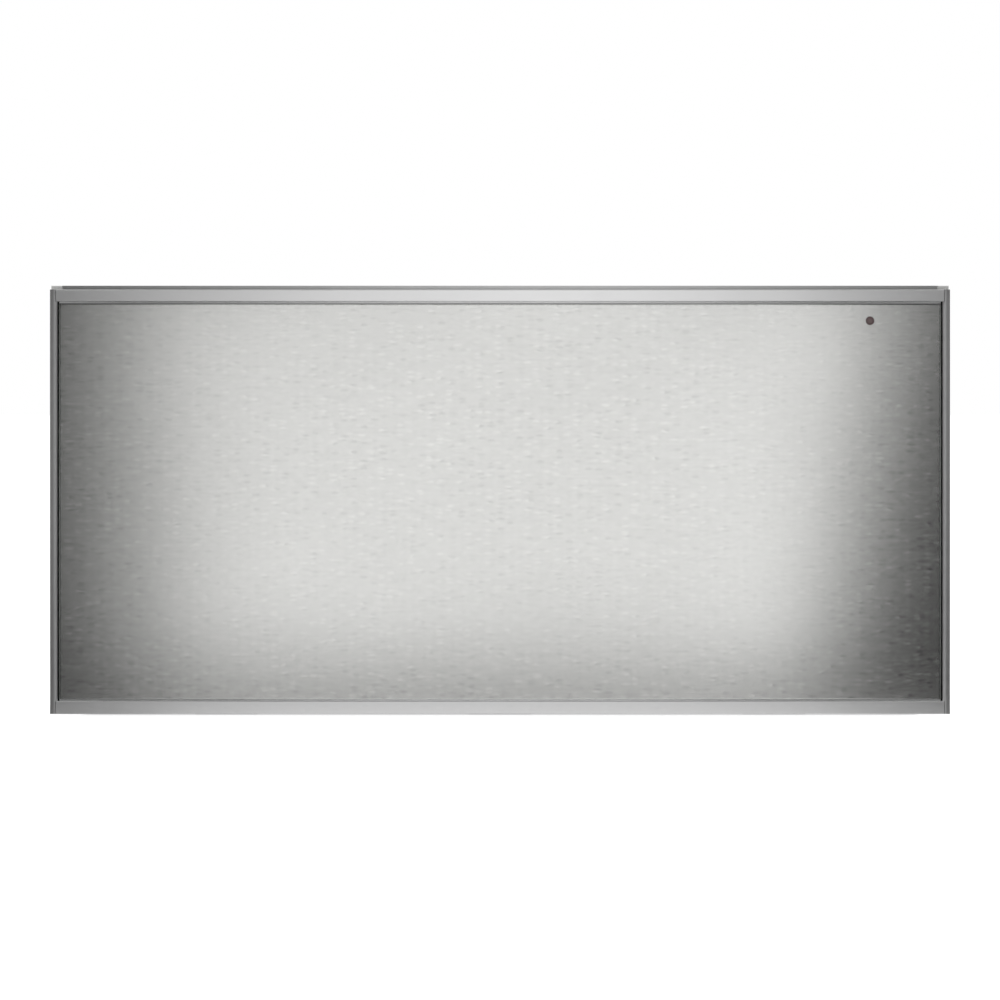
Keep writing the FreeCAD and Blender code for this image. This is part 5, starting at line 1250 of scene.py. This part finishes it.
        foot = bench.ramp(part.outputs["Y"], ((y0, 1.0), (y0 + 0.002, self.foot_level),
                                                    (y0 + 0.2, self.foot_middle), (y1, self.foot_near)))
        near = bench.ramp(part.outputs["Y"], ((y0, 0.0), (y0 + 0.1, 0.03), (y0 + 0.3, 0.14), (y1 - 0.06, 0.35),
                                                    (y1, self.foot_end)))
        near = bench.sum("MULTIPLY", near, bench.ramp(part.outputs["X"], self.beside))
        level = bench.sum("MAXIMUM", bench.sum("MULTIPLY", level, foot), near)
        inside = bench.sum("LESS_THAN", part.outputs["Z"], top - 0.001)
        inside = bench.sum("MULTIPLY", inside, bench.sum("LESS_THAN", bench.sum("ABSOLUTE", part.outputs["X"]),
                                                          w - 0.001))
        wings = bench.span(part.outputs["Y"], self.wing_level, self.tent_level, self.front - 0.05, self.front + 0.1)
        level = bench.add("Mix", {0: inside, 2: wings, 3: level}).outputs[0]
        glow = bench.add("Emission", {"Color": (1.0, 1.0, 1.0, 1.0), "Strength": level})
        bench.add("OutputMaterial", {"Surface": glow.outputs[0]})
        mesh.materials.append(made)
        tent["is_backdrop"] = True

    def lamp(self, name: str, place: Point, size: tuple[float, float], power: float) -> None:
        """A soft box aimed at the drawer.

        Args:
            name: the lamp's name.
            place: where it stands.
            size: its width and height.
            power: its power in watts.
        """
        data = bpy.data.lights.new(name, "AREA")
        data.shape = "RECTANGLE"
        data.size, data.size_y = size
        data.energy = power
        lamp = bpy.data.objects.new(name, data)
        lamp.location = place
        aim = Vector((0.0, 0.0, self.height)) - Vector(place)
        lamp.rotation_euler = aim.to_track_quat("-Z", "Y").to_euler()
        lamp.visible_camera = False
        bpy.context.scene.collection.objects.link(lamp)

    def build(self) -> None:
        """Sets up the whole studio."""
        scene = bpy.context.scene
        scene.view_settings.view_transform = "Standard"
        self.camera()
        self.world()
        self.floor()
        self.tent()
        self.lamp("top_soft_box", (0.0, -0.3, 2.6), (3.0, 3.0), 26.0)
        self.lamp("left_soft_box", (-2.4, -1.2, 1.4), (1.6, 1.6), 10.0)
        self.lamp("right_soft_box", (2.4, 0.2, 1.4), (1.6, 1.6), 9.0)
        self.lamp("rear_soft_box", (0.4, 2.6, 1.5), (1.8, 1.6), 8.0)


def corners() -> list[list[float]]:
    """The whole object's box as plain lists."""
    return [[round(float(x), 6) for x in corner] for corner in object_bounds()]


def main() -> None:
    """Builds and dresses the drawer, then lights it."""
    logging.basicConfig(level=logging.INFO, format="%(message)s", force=True)
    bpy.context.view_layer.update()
    Studio().build()
    for part in (Front(), Casing(), Runners(), DrawerBox(), FanUnit(), Controls(), BackGear()):
        if hasattr(part, "build"):
            part.build()
        part.dress()
        log.info("%s finished", type(part).__name__)


if __name__ == "__main__":
    main()
